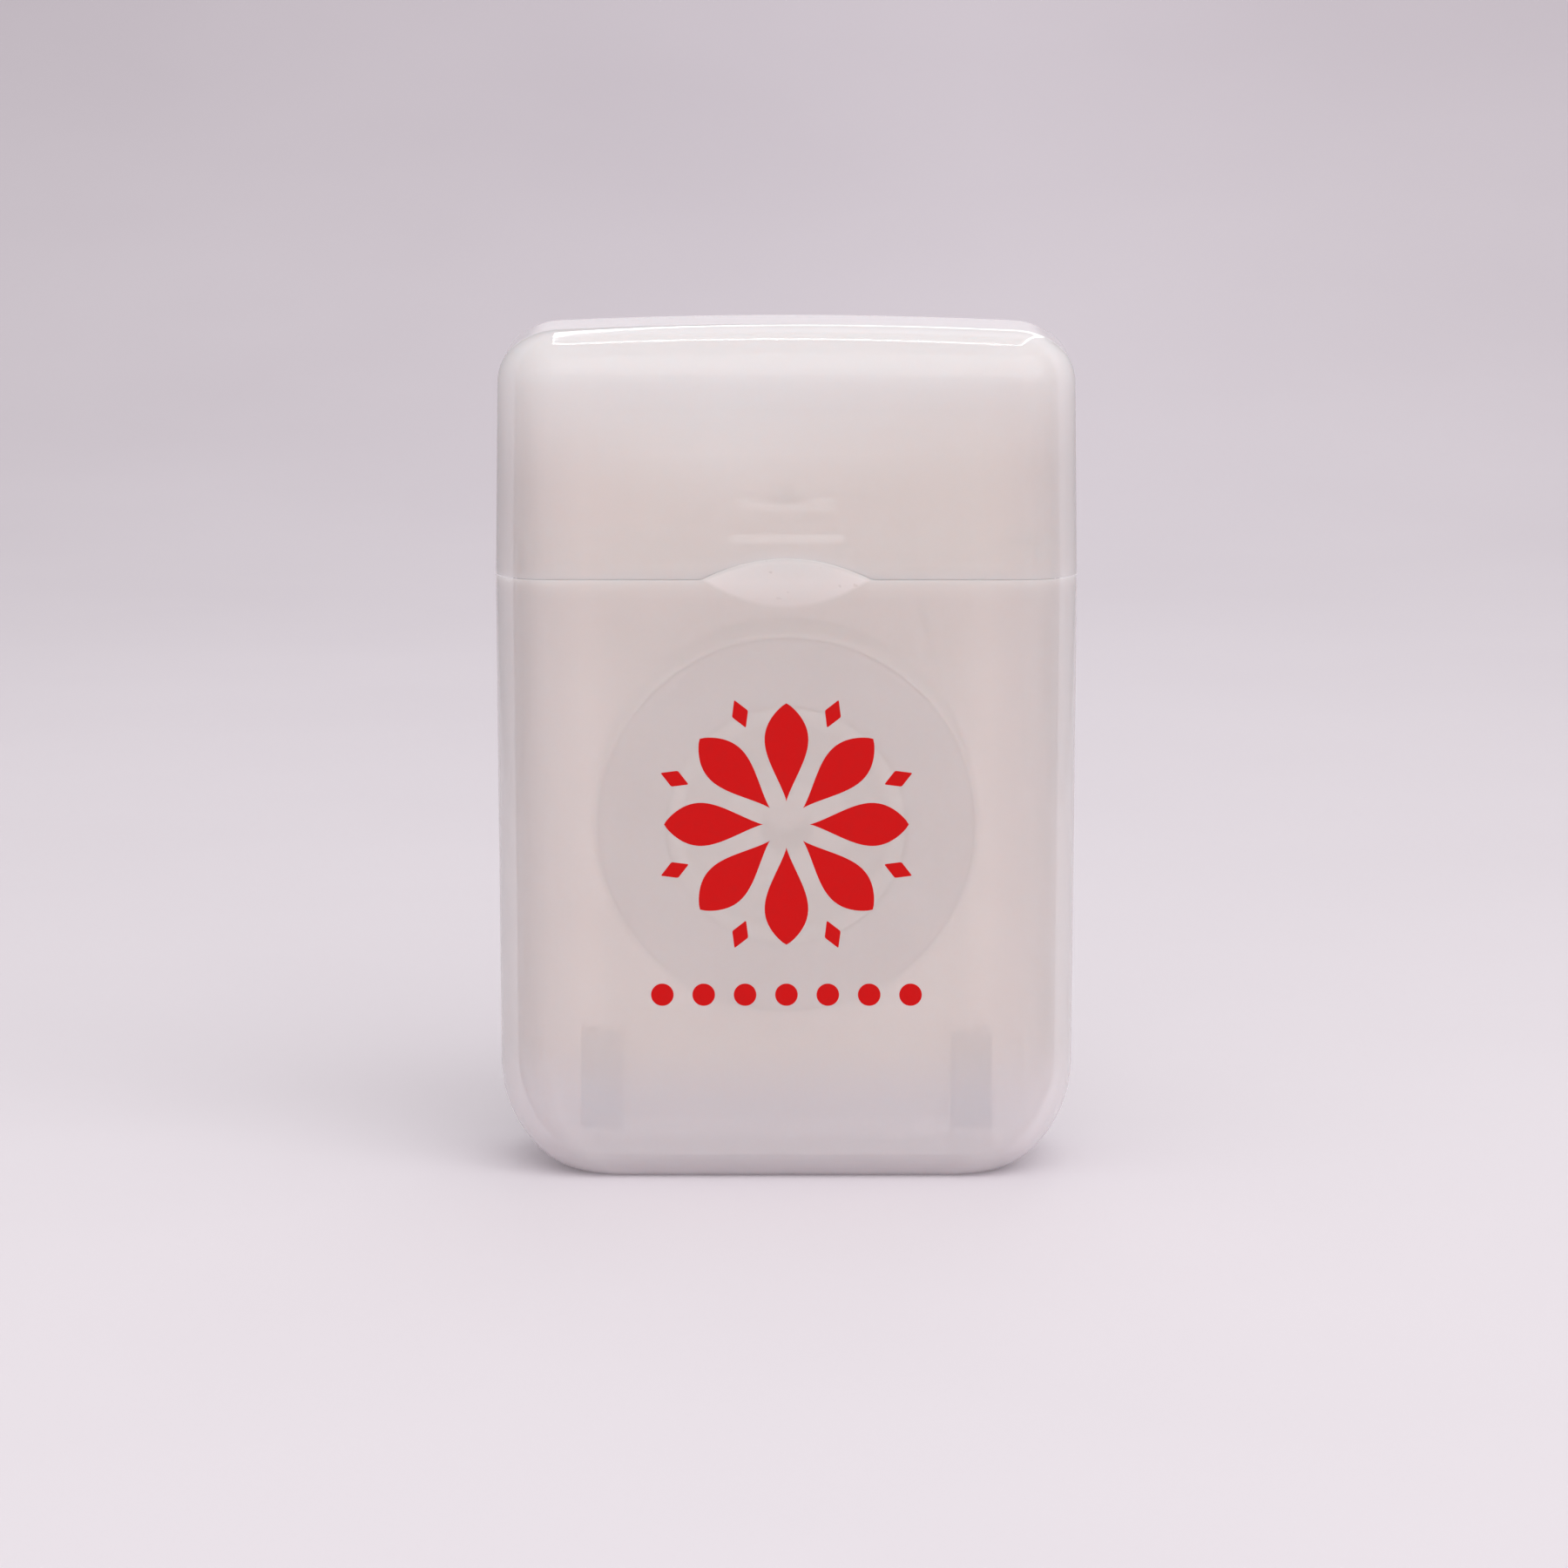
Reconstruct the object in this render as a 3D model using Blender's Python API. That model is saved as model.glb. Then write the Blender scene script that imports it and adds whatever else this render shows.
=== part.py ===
"""A flip-top dental floss dispenser, with one object for each moulded, stamped or wound piece.

Metres, +Z up, front towards -Y, +X to the right as seen from the front. The origin is the middle of
the base, on the surface that the dispenser stands on.
"""

import math

import bmesh
import bpy
import numpy as np
from mathutils import Matrix, Vector

# Outside of the case and lid
CASE_WIDTH = 0.0400
CASE_DEPTH = 0.0160
TOTAL_HEIGHT = 0.0590
SEAM_HEIGHT = 0.0419
SEAM_GAP = 0.0003
PLAN_CORNER_RADIUS = 0.0040
CASE_DRAFT_INSET = 0.0002
LID_DRAFT_INSET = 0.00025
SIDE_ARC_RADIUS = 0.0090
SIDE_ARC_SWEEP = math.radians(61)
BASE_FILLET = 0.0022
TOP_FILLET = 0.0040
CROWN_RADIUS = 0.330

# Walls and fits
WALL = 0.0012
FLOOR = 0.0015
FIT_GAP = 0.0003
OVERRUN = 0.0005
SEAM_BAND = 0.0030
BASE_RECESS_DEPTH = 0.0003
BASE_RECESS_MARGIN = 0.0028
BASE_RECESS_SLOPE = 0.0002
SMALLEST_CORNER = 0.0003

# Thumb scoop at the front of the seam
SCOOP_HALF_WIDTH = 0.00585
SCOOP_RISE = 0.00145
SCOOP_DROP = 0.00155
SCOOP_DEPTH = 0.00075
SCOOP_FLARE_SHARE = 1.13
TAB_RECESS = 0.0001
TAB_ROOT = 0.0010

# Living hinge at the back of the seam
HINGE_WIDTH = 0.0240
HINGE_WEB_RADIUS = 0.00025
HINGE_SWING_GAP = 0.00004
LID_OPEN_ANGLE = math.radians(130)

# Latch bead inside the front of the lid
LATCH_WIDTH = 0.0080
LATCH_RADIUS = 0.00035
LATCH_PROUD = 0.00025

# Carrier pressed into the mouth of the case
DECK_THICKNESS = 0.0012
DECK_DROP = 0.0004
RIM_RISE = 0.0020
RIM_THICKNESS = 0.0010
PLATE_THICKNESS = 0.0012
PLATE_INSET = 0.0024
AXLE_RADIUS = 0.0030
AXLE_BORE_RADIUS = 0.0018
AXLE_LIP_RADIUS = 0.0035
AXLE_LIP_LENGTH = 0.0006
AXLE_SLIT_WIDTH = 0.0008
AXLE_SLIT_LENGTH = 0.0040
MARK_RADIUS = 0.0026
MARK_HEIGHT = 0.0051
MARK_PROUD = 0.0002
EYELET_X = 0.0090
EYELET_HOLE_RADIUS = 0.00075
EYELET_WALL = 0.0006
EYELET_FLARE = 0.0009
EYELET_RISE = 0.0024

# Guide posts moulded into the floor of the case
POST_HEIGHT = 0.0065
POST_WALL = 0.0013
POST_GRIP = 0.0013
POST_LIP = 0.0012
POST_ROOT = 0.0003

# Spool and floss
WINDING_OUTER_RADIUS = 0.0134
SPOOL_TOP_GAP = 0.0025
SPIN_GAP = 0.0004
HUB_BORE_WALL = 0.0010
HUB_RADIUS = 0.0082
HUB_RIM = 0.0010
HUB_WEB = 0.0012
PACK_SIDE_INSET = 0.0002
PACK_EDGE = 0.0004
FLOSS_DIAMETER = 0.0004
WINDING_GAP = 0.00042
WINDING_BEND = 0.00095

# Cutter stamped from steel sheet
CUTTER_WIDTH = 0.00665
CUTTER_DEPTH = 0.0048
CUTTER_RISE = 0.0045
CUTTER_SKIRT = 0.0022
SHEET = 0.0003
SHEET_BEND = 0.0006
TONGUE_ROOT_INSET = 0.0008
TONGUE_LENGTH = 0.0034
TONGUE_WIDTH = 0.0032
TONGUE_SLIT = 0.0002
TONGUE_ANGLE = math.radians(30)

# Route of the floss from the spool, through the eyelet and under the cutter's tongue
FLOSS_ROUTE = [
    (0.01140, -0.0030, 0.0323),
    (0.01060, -0.0020, 0.0350),
    (0.00975, -0.0008, 0.0379),
    (0.00912, -0.0001, 0.0400),
    (0.00900, 0.0000, 0.0418),
    (0.00900, 0.0000, 0.0436),
    (0.00865, 0.0000, 0.0450),
    (0.00730, -0.0001, 0.0462),
    (0.00530, -0.0003, 0.0469),
    (0.00330, -0.0003, 0.0470),
    (0.00000, -0.0003, 0.0470),
    (-0.00330, -0.0003, 0.0470),
    (-0.00480, -0.0005, 0.0466),
    (-0.00580, -0.0008, 0.0458),
]

# Fineness of the meshes
LONG_STEPS = 12
CORNER_STEPS = 7
FILLET_STEPS = 5
ARC_STEPS = 8
BAR_STEPS = 24
TURNED_STEPS = 40
ELLIPSE_STEPS = 16
LOOP_POINTS = 24
BEND_POINTS = 5
SPAN_POINTS = 3
SMOOTH_ANGLE = math.radians(32)

# Places worked out from the sizes above
HALF_WIDTH = CASE_WIDTH / 2
HALF_DEPTH = CASE_DEPTH / 2
CASE_TOP = SEAM_HEIGHT - SEAM_GAP / 2
LID_BOTTOM = SEAM_HEIGHT + SEAM_GAP / 2
SIDE_ARC_CENTRE = SIDE_ARC_RADIUS * math.sin(SIDE_ARC_SWEEP)
BASE_HALF_WIDTH = HALF_WIDTH - SIDE_ARC_RADIUS * (1 - math.cos(SIDE_ARC_SWEEP))
HINGE_Y = HALF_DEPTH - HINGE_WEB_RADIUS
HINGE_RELIEF = HINGE_WEB_RADIUS / math.cos(LID_OPEN_ANGLE / 2) + HINGE_SWING_GAP
SCOOP_HEIGHT = SEAM_HEIGHT + SCOOP_RISE
INNER_BACK = HALF_DEPTH - CASE_DRAFT_INSET - WALL
INNER_FRONT = CASE_DRAFT_INSET + WALL - HALF_DEPTH
DECK_TOP = SEAM_HEIGHT - DECK_DROP
DECK_UNDERSIDE = DECK_TOP - DECK_THICKNESS
RIM_TOP = SEAM_HEIGHT + RIM_RISE
PLATE_BACK = INNER_BACK - FIT_GAP
PLATE_FRONT = PLATE_BACK - PLATE_THICKNESS
PLATE_HALF_WIDTH = BASE_HALF_WIDTH - PLATE_INSET
SPOOL_HEIGHT = DECK_UNDERSIDE - SPOOL_TOP_GAP - WINDING_OUTER_RADIUS
AXLE_FRONT = INNER_FRONT + FIT_GAP
HUB_FRONT = AXLE_FRONT + AXLE_LIP_LENGTH + FIT_GAP
HUB_BACK = PLATE_FRONT - SPIN_GAP
HUB_BORE = AXLE_RADIUS + FIT_GAP
PACK_FRONT = HUB_FRONT + PACK_SIDE_INSET
PACK_BACK = HUB_BACK - PACK_SIDE_INSET
TURN_RADIUS = WINDING_OUTER_RADIUS - FLOSS_DIAMETER / 2
PACK_RADIUS = TURN_RADIUS - FLOSS_DIAMETER / 2 - FIT_GAP
SHOULDER_RADIUS = TURN_RADIUS - WINDING_BEND - FLOSS_DIAMETER - FIT_GAP
SHOULDER_WIDTH = FLOSS_DIAMETER + 2 * FIT_GAP
CUTTER_TOP = SEAM_HEIGHT + CUTTER_RISE


def material(name, colour, roughness, metallic=0.0):
    """A Principled material with a plain colour."""
    made = bpy.data.materials.new(name)
    made.use_nodes = True
    shader = made.node_tree.nodes["Principled BSDF"]
    shader.inputs["Base Color"].default_value = (*colour, 1.0)
    shader.inputs["Roughness"].default_value = roughness
    shader.inputs["Metallic"].default_value = metallic
    return made


def link(name, data, finish=None):
    """An object for this mesh or curve, in the scene's collection."""
    made = bpy.data.objects.new(name, data)
    bpy.context.scene.collection.objects.link(made)
    if finish:
        data.materials.append(finish)
    return made


def solid(name, verts, faces, finish=None):
    """A closed mesh whose faces point out, smooth but for its sharp edges."""
    mesh = bpy.data.meshes.new(name)
    mesh.from_pydata([tuple(map(float, vert)) for vert in verts], [], faces)
    built = bmesh.new()
    built.from_mesh(mesh)
    bmesh.ops.recalc_face_normals(built, faces=built.faces)
    built.to_mesh(mesh)
    built.free()
    mesh.shade_smooth()
    mesh.set_sharp_from_angle(angle=SMOOTH_ANGLE)
    return link(name, mesh, finish)


def boolean(target, tool, operation):
    """Cut the tool from the target, or join it on; the tool moves with it and is left out of the build."""
    step = target.modifiers.new(tool.name, "BOOLEAN")
    step.operation = operation
    step.solver = "EXACT"
    step.object = tool
    tool.parent = target
    tool.matrix_parent_inverse = Matrix.Translation(-target.location)
    tool.hide_render = True
    tool.display_type = "WIRE"


def put_origin(piece, place):
    """Move the object's origin to its joint's axis, and leave the shape where it is."""
    piece.data.transform(Matrix.Translation(-Vector(place)))
    piece.location = place


def ring(half_width, half_depth, corner, height):
    """A rounded rectangle at one height: its front half from left to right, then its back half."""
    corner = max(corner, SMALLEST_CORNER)
    flat_x, flat_y = half_width - corner, half_depth - corner
    turn = np.linspace(0, math.pi / 2, CORNER_STEPS + 1)
    edge = np.linspace(-flat_x, flat_x, LONG_STEPS + 1)[1:-1]
    left = -flat_x - corner * np.cos(turn)
    x = np.concatenate([left, edge, -left[::-1]])
    bend = -flat_y - corner * np.sin(turn)
    y = np.concatenate([bend, np.full(len(edge), -half_depth), bend[::-1]])
    front = np.column_stack([x, y, np.full(len(x), height)])
    return np.concatenate([front, front[::-1] * (1, -1, 1)])


def lofted(name, rings, finish=None):
    """A closed solid through the rings, capped by strips that join its front edge to its back edge."""
    count = len(rings[0])
    faces = []
    for level in range(len(rings) - 1):
        base = level * count
        for i in range(count):
            j = (i + 1) % count
            faces.append((base + i, base + j, base + count + j, base + count + i))
    for base in (0, (len(rings) - 1) * count):
        for i in range(count // 2 - 1):
            far = base + count - 1 - i
            faces.append((base + i, base + i + 1, far - 1, far))
    return solid(name, np.concatenate(rings), faces, finish)


def box(name, low, high, finish=None):
    """A block between two corners."""
    verts = [(x, y, z) for x in (low[0], high[0]) for y in (low[1], high[1]) for z in (low[2], high[2])]
    faces = [(0, 1, 3, 2), (4, 6, 7, 5), (0, 4, 5, 1), (2, 3, 7, 6), (0, 2, 6, 4), (1, 5, 7, 3)]
    return solid(name, verts, faces, finish)


def prism(name, outline, low, high, axis, finish=None):
    """An outline pushed along one axis: points are in the plane of the two other axes, in their order."""
    count = len(outline)
    verts = [list(point[:axis]) + [level] + list(point[axis:]) for level in (low, high) for point in outline]
    faces = [tuple(range(count)), tuple(range(count, 2 * count))]
    for i in range(count):
        j = (i + 1) % count
        faces.append((i, j, count + j, count + i))
    return solid(name, verts, faces, finish)


def arch(half_width, rise, base, root):
    """The outline of a half ellipse that stands on a base, with a straight root below it."""
    turn = np.linspace(0, math.pi, ELLIPSE_STEPS + 1)
    curve = [(half_width * math.cos(a), base + rise * math.sin(a)) for a in turn]
    return [(half_width, base - root)] + curve + [(-half_width, base - root)]


def bar(name, radius, half_length, y, z, finish=None):
    """A round bar along X."""
    turn = np.arange(BAR_STEPS) * (2 * math.pi / BAR_STEPS)
    outline = [(y + radius * math.cos(a), z + radius * math.sin(a)) for a in turn]
    return prism(name, outline, -half_length, half_length, 0, finish)


def turned(name, profile, centre, axis, steps, finish=None):
    """A closed profile of (radius, place along the axis) spun round a line along Y or Z."""
    turn = np.arange(steps) * (2 * math.pi / steps)
    radius, along = np.array(profile).T
    side = np.outer(np.cos(turn), radius)
    rise = np.outer(np.sin(turn), radius)
    level = np.broadcast_to(along, side.shape)
    order = (side, level, rise) if axis == "Y" else (side, rise, level)
    verts = np.stack(order, axis=2).reshape(-1, 3) + np.array(centre)
    count = len(profile)
    faces = []
    for k in range(steps):
        here, there = k * count, (k + 1) % steps * count
        for i in range(count):
            j = (i + 1) % count
            faces.append((here + i, here + j, there + j, there + i))
    return solid(name, verts, faces, finish)


def tube(name, points, diameter, fineness, finish):
    """A cord of round section along its points, with closed ends."""
    curve = bpy.data.curves.new(name, "CURVE")
    curve.dimensions = "3D"
    curve.bevel_depth = diameter / 2
    curve.bevel_resolution = fineness
    curve.use_fill_caps = True
    spline = curve.splines.new("POLY")
    spline.points.add(len(points) - 1)
    for point, place in zip(spline.points, points):
        point.co = (*map(float, place), 1.0)
    return link(name, curve, finish)


def smooth_route(route, steps):
    """Points along a Catmull-Rom curve through every point of the route."""
    ends = np.vstack([2 * route[0] - route[1], route, 2 * route[-1] - route[-2]])
    share = np.linspace(0, 1, steps, endpoint=False)[:, None]
    points = []
    for a, b, c, d in zip(ends, ends[1:], ends[2:], ends[3:]):
        bend = (2 * a - 5 * b + 4 * c - d) * share + (3 * (b - c) + d - a) * share**2
        points.append(b + share / 2 * (c - a + bend))
    return np.vstack([*points, route[-1:]])


def arc_inset(radius, centre, height, offset):
    """How far a wall face stands in from the widest place, beside an arc that starts at the base."""
    below = max(centre - height, 0)
    return radius - math.sqrt((radius - offset) ** 2 - below**2)


def case_ring(height, offset):
    """The case's section at a height, moved in from the outer face by an offset."""
    draft = CASE_DRAFT_INSET * (1 - height / SEAM_HEIGHT)
    side = arc_inset(SIDE_ARC_RADIUS, SIDE_ARC_CENTRE, height, offset)
    front = arc_inset(BASE_FILLET, BASE_FILLET, height, offset)
    corner = PLAN_CORNER_RADIUS - offset
    return ring(HALF_WIDTH - draft - side, HALF_DEPTH - draft - front, corner, height)


def case_levels(lowest, offset):
    """Heights at which the case's wall changes its slope, from the lowest one up to the seam."""
    fillet = np.linspace(0, math.pi / 2, FILLET_STEPS)
    arc = np.linspace(0, SIDE_ARC_SWEEP, ARC_STEPS)
    levels = np.concatenate(
        [
            BASE_FILLET - (BASE_FILLET - offset) * np.cos(fillet),
            SIDE_ARC_CENTRE - (SIDE_ARC_RADIUS - offset) * np.sin(arc),
            [CASE_TOP - SEAM_BAND, CASE_TOP],
        ]
    )
    above = np.sort(levels[levels > lowest + OVERRUN / 2])
    return [lowest, *above]


def case_body(finish):
    """The lower shell: a drafted cup with a recessed base, guide posts and the thumb scoop."""
    recess_half_width = BASE_HALF_WIDTH - BASE_RECESS_MARGIN
    recess_half_depth = HALF_DEPTH - BASE_FILLET - BASE_RECESS_MARGIN / 2
    corner = PLAN_CORNER_RADIUS / 2
    roof_half_width = recess_half_width - BASE_RECESS_SLOPE
    roof_half_depth = recess_half_depth - BASE_RECESS_SLOPE
    rings = [
        ring(roof_half_width, roof_half_depth, corner, BASE_RECESS_DEPTH),
        ring(recess_half_width, recess_half_depth, corner, 0),
        case_ring(0, 0),
    ]
    rings += [case_ring(height, 0) for height in case_levels(0, 0)[1:]]
    rings += [case_ring(height, WALL) for height in case_levels(FLOOR, WALL)[::-1]]
    case = lofted("case_body", rings, finish)

    for side in (-1, 1):
        inner, outer = PLATE_HALF_WIDTH - POST_GRIP, PLATE_HALF_WIDTH + FIT_GAP + POST_WALL
        front = PLATE_FRONT - FIT_GAP - POST_LIP
        ends = sorted((side * inner, side * outer))
        low = (ends[0], front, FLOOR - POST_ROOT)
        high = (ends[1], INNER_BACK + POST_ROOT, FLOOR + POST_HEIGHT)
        boolean(case, box("post_block", low, high), "UNION")
    grip = PLATE_HALF_WIDTH + FIT_GAP
    low = (-grip, PLATE_FRONT - FIT_GAP, FLOOR + POST_ROOT / 2)
    high = (grip, PLATE_BACK + FIT_GAP / 2, FLOOR + POST_HEIGHT + OVERRUN)
    boolean(case, box("plate_slot", low, high), "DIFFERENCE")

    tab = arch(SCOOP_HALF_WIDTH - SEAM_GAP / 2, SCOOP_RISE - SEAM_GAP / 2, SEAM_HEIGHT, TAB_ROOT)
    front = -HALF_DEPTH + TAB_RECESS
    boolean(case, prism("thumb_tab", tab, front, front + WALL - 2 * TAB_RECESS, 1), "UNION")
    boolean(case, scoop_cutter(), "DIFFERENCE")
    boolean(case, hinge_relief("case_hinge_relief"), "DIFFERENCE")
    return case


def scoop_cutter():
    """The hollow for a thumb nail: half of an egg, deepest where it meets the lid's arched edge."""
    built = bmesh.new()
    bmesh.ops.create_uvsphere(built, u_segments=BAR_STEPS, v_segments=ELLIPSE_STEPS, radius=1)
    size = (SCOOP_HALF_WIDTH * SCOOP_FLARE_SHARE, SCOOP_DEPTH, SCOOP_RISE + SCOOP_DROP)
    built.transform(Matrix.Translation((0, -HALF_DEPTH, SCOOP_HEIGHT)) @ Matrix.Diagonal((*size, 1)))
    mesh = bpy.data.meshes.new("thumb_scoop")
    built.to_mesh(mesh)
    built.free()
    return link("thumb_scoop", mesh)


def hinge_relief(name):
    """A round groove about the hinge axis, which lets the lid fold back past the case."""
    return bar(name, HINGE_RELIEF, HALF_WIDTH + OVERRUN, HINGE_Y, SEAM_HEIGHT)


def lid_half_size(height):
    """The lid's half width and half depth at a height, which its draft makes smaller upwards."""
    draft = LID_DRAFT_INSET * (height - SEAM_HEIGHT) / (TOTAL_HEIGHT - SEAM_HEIGHT)
    return HALF_WIDTH - draft, HALF_DEPTH - draft


def lid_ring(angle, offset):
    """The lid's section at an angle round its top fillet, lowered towards the sides by the crown."""
    radius = TOP_FILLET - offset
    inset = offset + radius * (1 - math.cos(angle))
    height = TOTAL_HEIGHT - TOP_FILLET + radius * math.sin(angle)
    half_width, half_depth = lid_half_size(height)
    section = ring(half_width - inset, half_depth - inset, PLAN_CORNER_RADIUS - inset, height)
    section[:, 2] -= math.sin(angle) ** 2 * section[:, 0] ** 2 / (2 * CROWN_RADIUS)
    return section


def lid_wall(height, offset):
    """The lid's section at a height below its top fillet."""
    half_width, half_depth = lid_half_size(height)
    return ring(half_width - offset, half_depth - offset, PLAN_CORNER_RADIUS - offset, height)


def lid(finish):
    """The flip lid: a crowned cap with an arched front edge and a latch bead."""
    angles = np.linspace(0, math.pi / 2, FILLET_STEPS + 1)
    rings = [lid_ring(angle, 0) for angle in angles[::-1]]
    band = LID_BOTTOM + SEAM_BAND
    rings += [lid_wall(band, 0), lid_wall(LID_BOTTOM, 0), lid_wall(LID_BOTTOM, WALL), lid_wall(band, WALL)]
    rings += [lid_ring(angle, WALL) for angle in angles]
    cap = lofted("lid", rings, finish)
    put_origin(cap, (0, HINGE_Y, SEAM_HEIGHT))

    height = RIM_TOP + FIT_GAP + LATCH_RADIUS
    inner_front = WALL - lid_half_size(height)[1]
    bead_y = inner_front + LATCH_PROUD - LATCH_RADIUS
    boolean(cap, bar("latch_bead", LATCH_RADIUS, LATCH_WIDTH / 2, bead_y, height), "UNION")
    opening = arch(SCOOP_HALF_WIDTH + SEAM_GAP / 2, SCOOP_RISE + SEAM_GAP / 2, SEAM_HEIGHT, TAB_ROOT)
    front = -HALF_DEPTH - OVERRUN
    boolean(cap, prism("thumb_arch", opening, front, OVERRUN + WALL - HALF_DEPTH, 1), "DIFFERENCE")
    boolean(cap, hinge_relief("lid_hinge_relief"), "DIFFERENCE")
    return cap


def living_hinge(finish):
    """The web that joins case and lid, rolled up as it lies when the lid is shut."""
    return bar("living_hinge", HINGE_WEB_RADIUS, HINGE_WIDTH / 2, HINGE_Y, SEAM_HEIGHT, finish)


def spool_carrier(finish):
    """The insert: a rimmed deck with eyelet and cutter block, and a back plate with the spool's axle."""
    outer = FIT_GAP + WALL
    inner = outer + RIM_THICKNESS
    levels = ((outer, DECK_UNDERSIDE), (outer, RIM_TOP), (inner, RIM_TOP), (inner, DECK_TOP))
    rings = [
        ring(HALF_WIDTH - inset, HALF_DEPTH - inset, PLAN_CORNER_RADIUS - inset, height)
        for inset, height in levels
    ]
    carrier = lofted("spool_carrier", rings, finish)

    low = (-PLATE_HALF_WIDTH, PLATE_FRONT, FLOOR + FIT_GAP)
    high = (PLATE_HALF_WIDTH, PLATE_BACK, DECK_UNDERSIDE + DECK_THICKNESS / 2)
    boolean(carrier, box("back_plate", low, high), "UNION")
    boolean(carrier, axle(), "UNION")
    slit = AXLE_SLIT_WIDTH / 2
    low = (-slit, AXLE_FRONT - OVERRUN, SPOOL_HEIGHT - AXLE_LIP_RADIUS - OVERRUN)
    high = (slit, AXLE_FRONT + AXLE_SLIT_LENGTH, SPOOL_HEIGHT + AXLE_LIP_RADIUS + OVERRUN)
    boolean(carrier, box("axle_slit", low, high), "DIFFERENCE")
    boolean(carrier, ejector_mark(), "UNION")

    wide, deep = CUTTER_WIDTH / 2 - FIT_GAP, CUTTER_DEPTH / 2 - SHEET - FIT_GAP
    low = (-wide, -deep, DECK_TOP - DECK_THICKNESS / 2)
    high = (wide, deep, CUTTER_TOP - SHEET - FIT_GAP)
    boolean(carrier, box("cutter_block", low, high), "UNION")
    boolean(carrier, eyelet(), "UNION")
    hole = eyelet_hole()
    boolean(carrier, hole, "DIFFERENCE")
    return carrier


def axle():
    """A hollow post on the back plate, with a lip that keeps the spool on."""
    root = PLATE_FRONT + PLATE_THICKNESS / 2
    lip = AXLE_FRONT + AXLE_LIP_LENGTH
    chamfer = AXLE_LIP_RADIUS - AXLE_RADIUS
    profile = [
        (AXLE_RADIUS, root),
        (AXLE_RADIUS, lip),
        (AXLE_LIP_RADIUS, lip),
        (AXLE_LIP_RADIUS, lip - AXLE_LIP_LENGTH / 4),
        (AXLE_LIP_RADIUS - chamfer, AXLE_FRONT),
        (AXLE_BORE_RADIUS, AXLE_FRONT),
        (AXLE_BORE_RADIUS, root),
    ]
    return turned("axle_post", profile, (0, 0, SPOOL_HEIGHT), "Y", BAR_STEPS)


def ejector_mark():
    """The round mark that an ejector pin leaves low on the back plate."""
    turn = np.arange(BAR_STEPS) * (2 * math.pi / BAR_STEPS)
    outline = [(MARK_RADIUS * math.cos(a), MARK_HEIGHT + MARK_RADIUS * math.sin(a)) for a in turn]
    low, high = PLATE_FRONT - MARK_PROUD, PLATE_FRONT + PLATE_THICKNESS / 2
    return prism("ejector_mark", outline, low, high, 1)


def eyelet():
    """The nozzle that the floss comes up through."""
    foot = DECK_TOP - DECK_THICKNESS / 2
    wall = EYELET_HOLE_RADIUS + EYELET_WALL
    core = EYELET_HOLE_RADIUS / 2
    top = DECK_TOP + EYELET_RISE
    profile = [
        (core, foot),
        (wall + EYELET_FLARE, foot),
        (wall + EYELET_FLARE, DECK_TOP),
        (wall, DECK_TOP + EYELET_RISE / 2),
        (wall, top - EYELET_WALL / 2),
        (wall - EYELET_WALL / 2, top),
        (core, top),
    ]
    return turned("eyelet_nozzle", profile, (EYELET_X, 0, 0), "Z", BAR_STEPS)


def eyelet_hole():
    """The round way through the deck and the nozzle, flared where the floss comes in."""
    turn = np.arange(BAR_STEPS) * (2 * math.pi / BAR_STEPS)
    radius = EYELET_HOLE_RADIUS
    outline = [(EYELET_X + radius * math.cos(a), radius * math.sin(a)) for a in turn]
    low, high = DECK_UNDERSIDE - OVERRUN, DECK_TOP + EYELET_RISE + OVERRUN
    return prism("eyelet_hole", outline, low, high, 2)


def floss_cutter(finish):
    """The steel clip on the cutter block, with a sharp tongue cut free and bent up from its top."""
    half = CUTTER_DEPTH / 2
    low, high = CUTTER_TOP - CUTTER_SKIRT, CUTTER_TOP
    outside = [(-half, low), (-half, high - SHEET_BEND), (SHEET_BEND - half, high)]
    inside = [(SHEET - half, low), (SHEET - half, high - SHEET_BEND), (SHEET_BEND - half, high - SHEET)]
    front = outside + [(-y, z) for y, z in outside[::-1]]
    back = [(-y, z) for y, z in inside] + inside[::-1]
    clip = prism("floss_cutter", front + back, -CUTTER_WIDTH / 2, CUTTER_WIDTH / 2, 0, finish)

    root = half - TONGUE_ROOT_INSET
    reach = TONGUE_LENGTH * math.cos(TONGUE_ANGLE)
    rise = TONGUE_LENGTH * math.sin(TONGUE_ANGLE)
    wide = TONGUE_WIDTH / 2
    window_wide, window_tip = wide + TONGUE_SLIT, root - TONGUE_LENGTH - TONGUE_SLIT
    window = [(-window_wide, root), (window_wide, root), (0, window_tip)]
    low, high = CUTTER_TOP - SHEET - OVERRUN, CUTTER_TOP + OVERRUN
    boolean(clip, prism("tongue_window", window, low, high, 2), "DIFFERENCE")
    verts = []
    for drop in (0, SHEET):
        top = CUTTER_TOP - drop
        verts += [(-wide, root, top), (wide, root, top), (0, root - reach, top + rise)]
        verts += [(wide, root + SHEET, top), (-wide, root + SHEET, top)]
    faces = [(0, 1, 2), (0, 4, 3, 1), (5, 7, 6), (5, 6, 8, 9)]
    faces += [(1, 6, 7, 2), (2, 7, 5, 0), (0, 5, 9, 4), (4, 9, 8, 3), (3, 8, 6, 1)]
    boolean(clip, solid("cutter_tongue", verts, faces), "UNION")
    return clip


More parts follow.
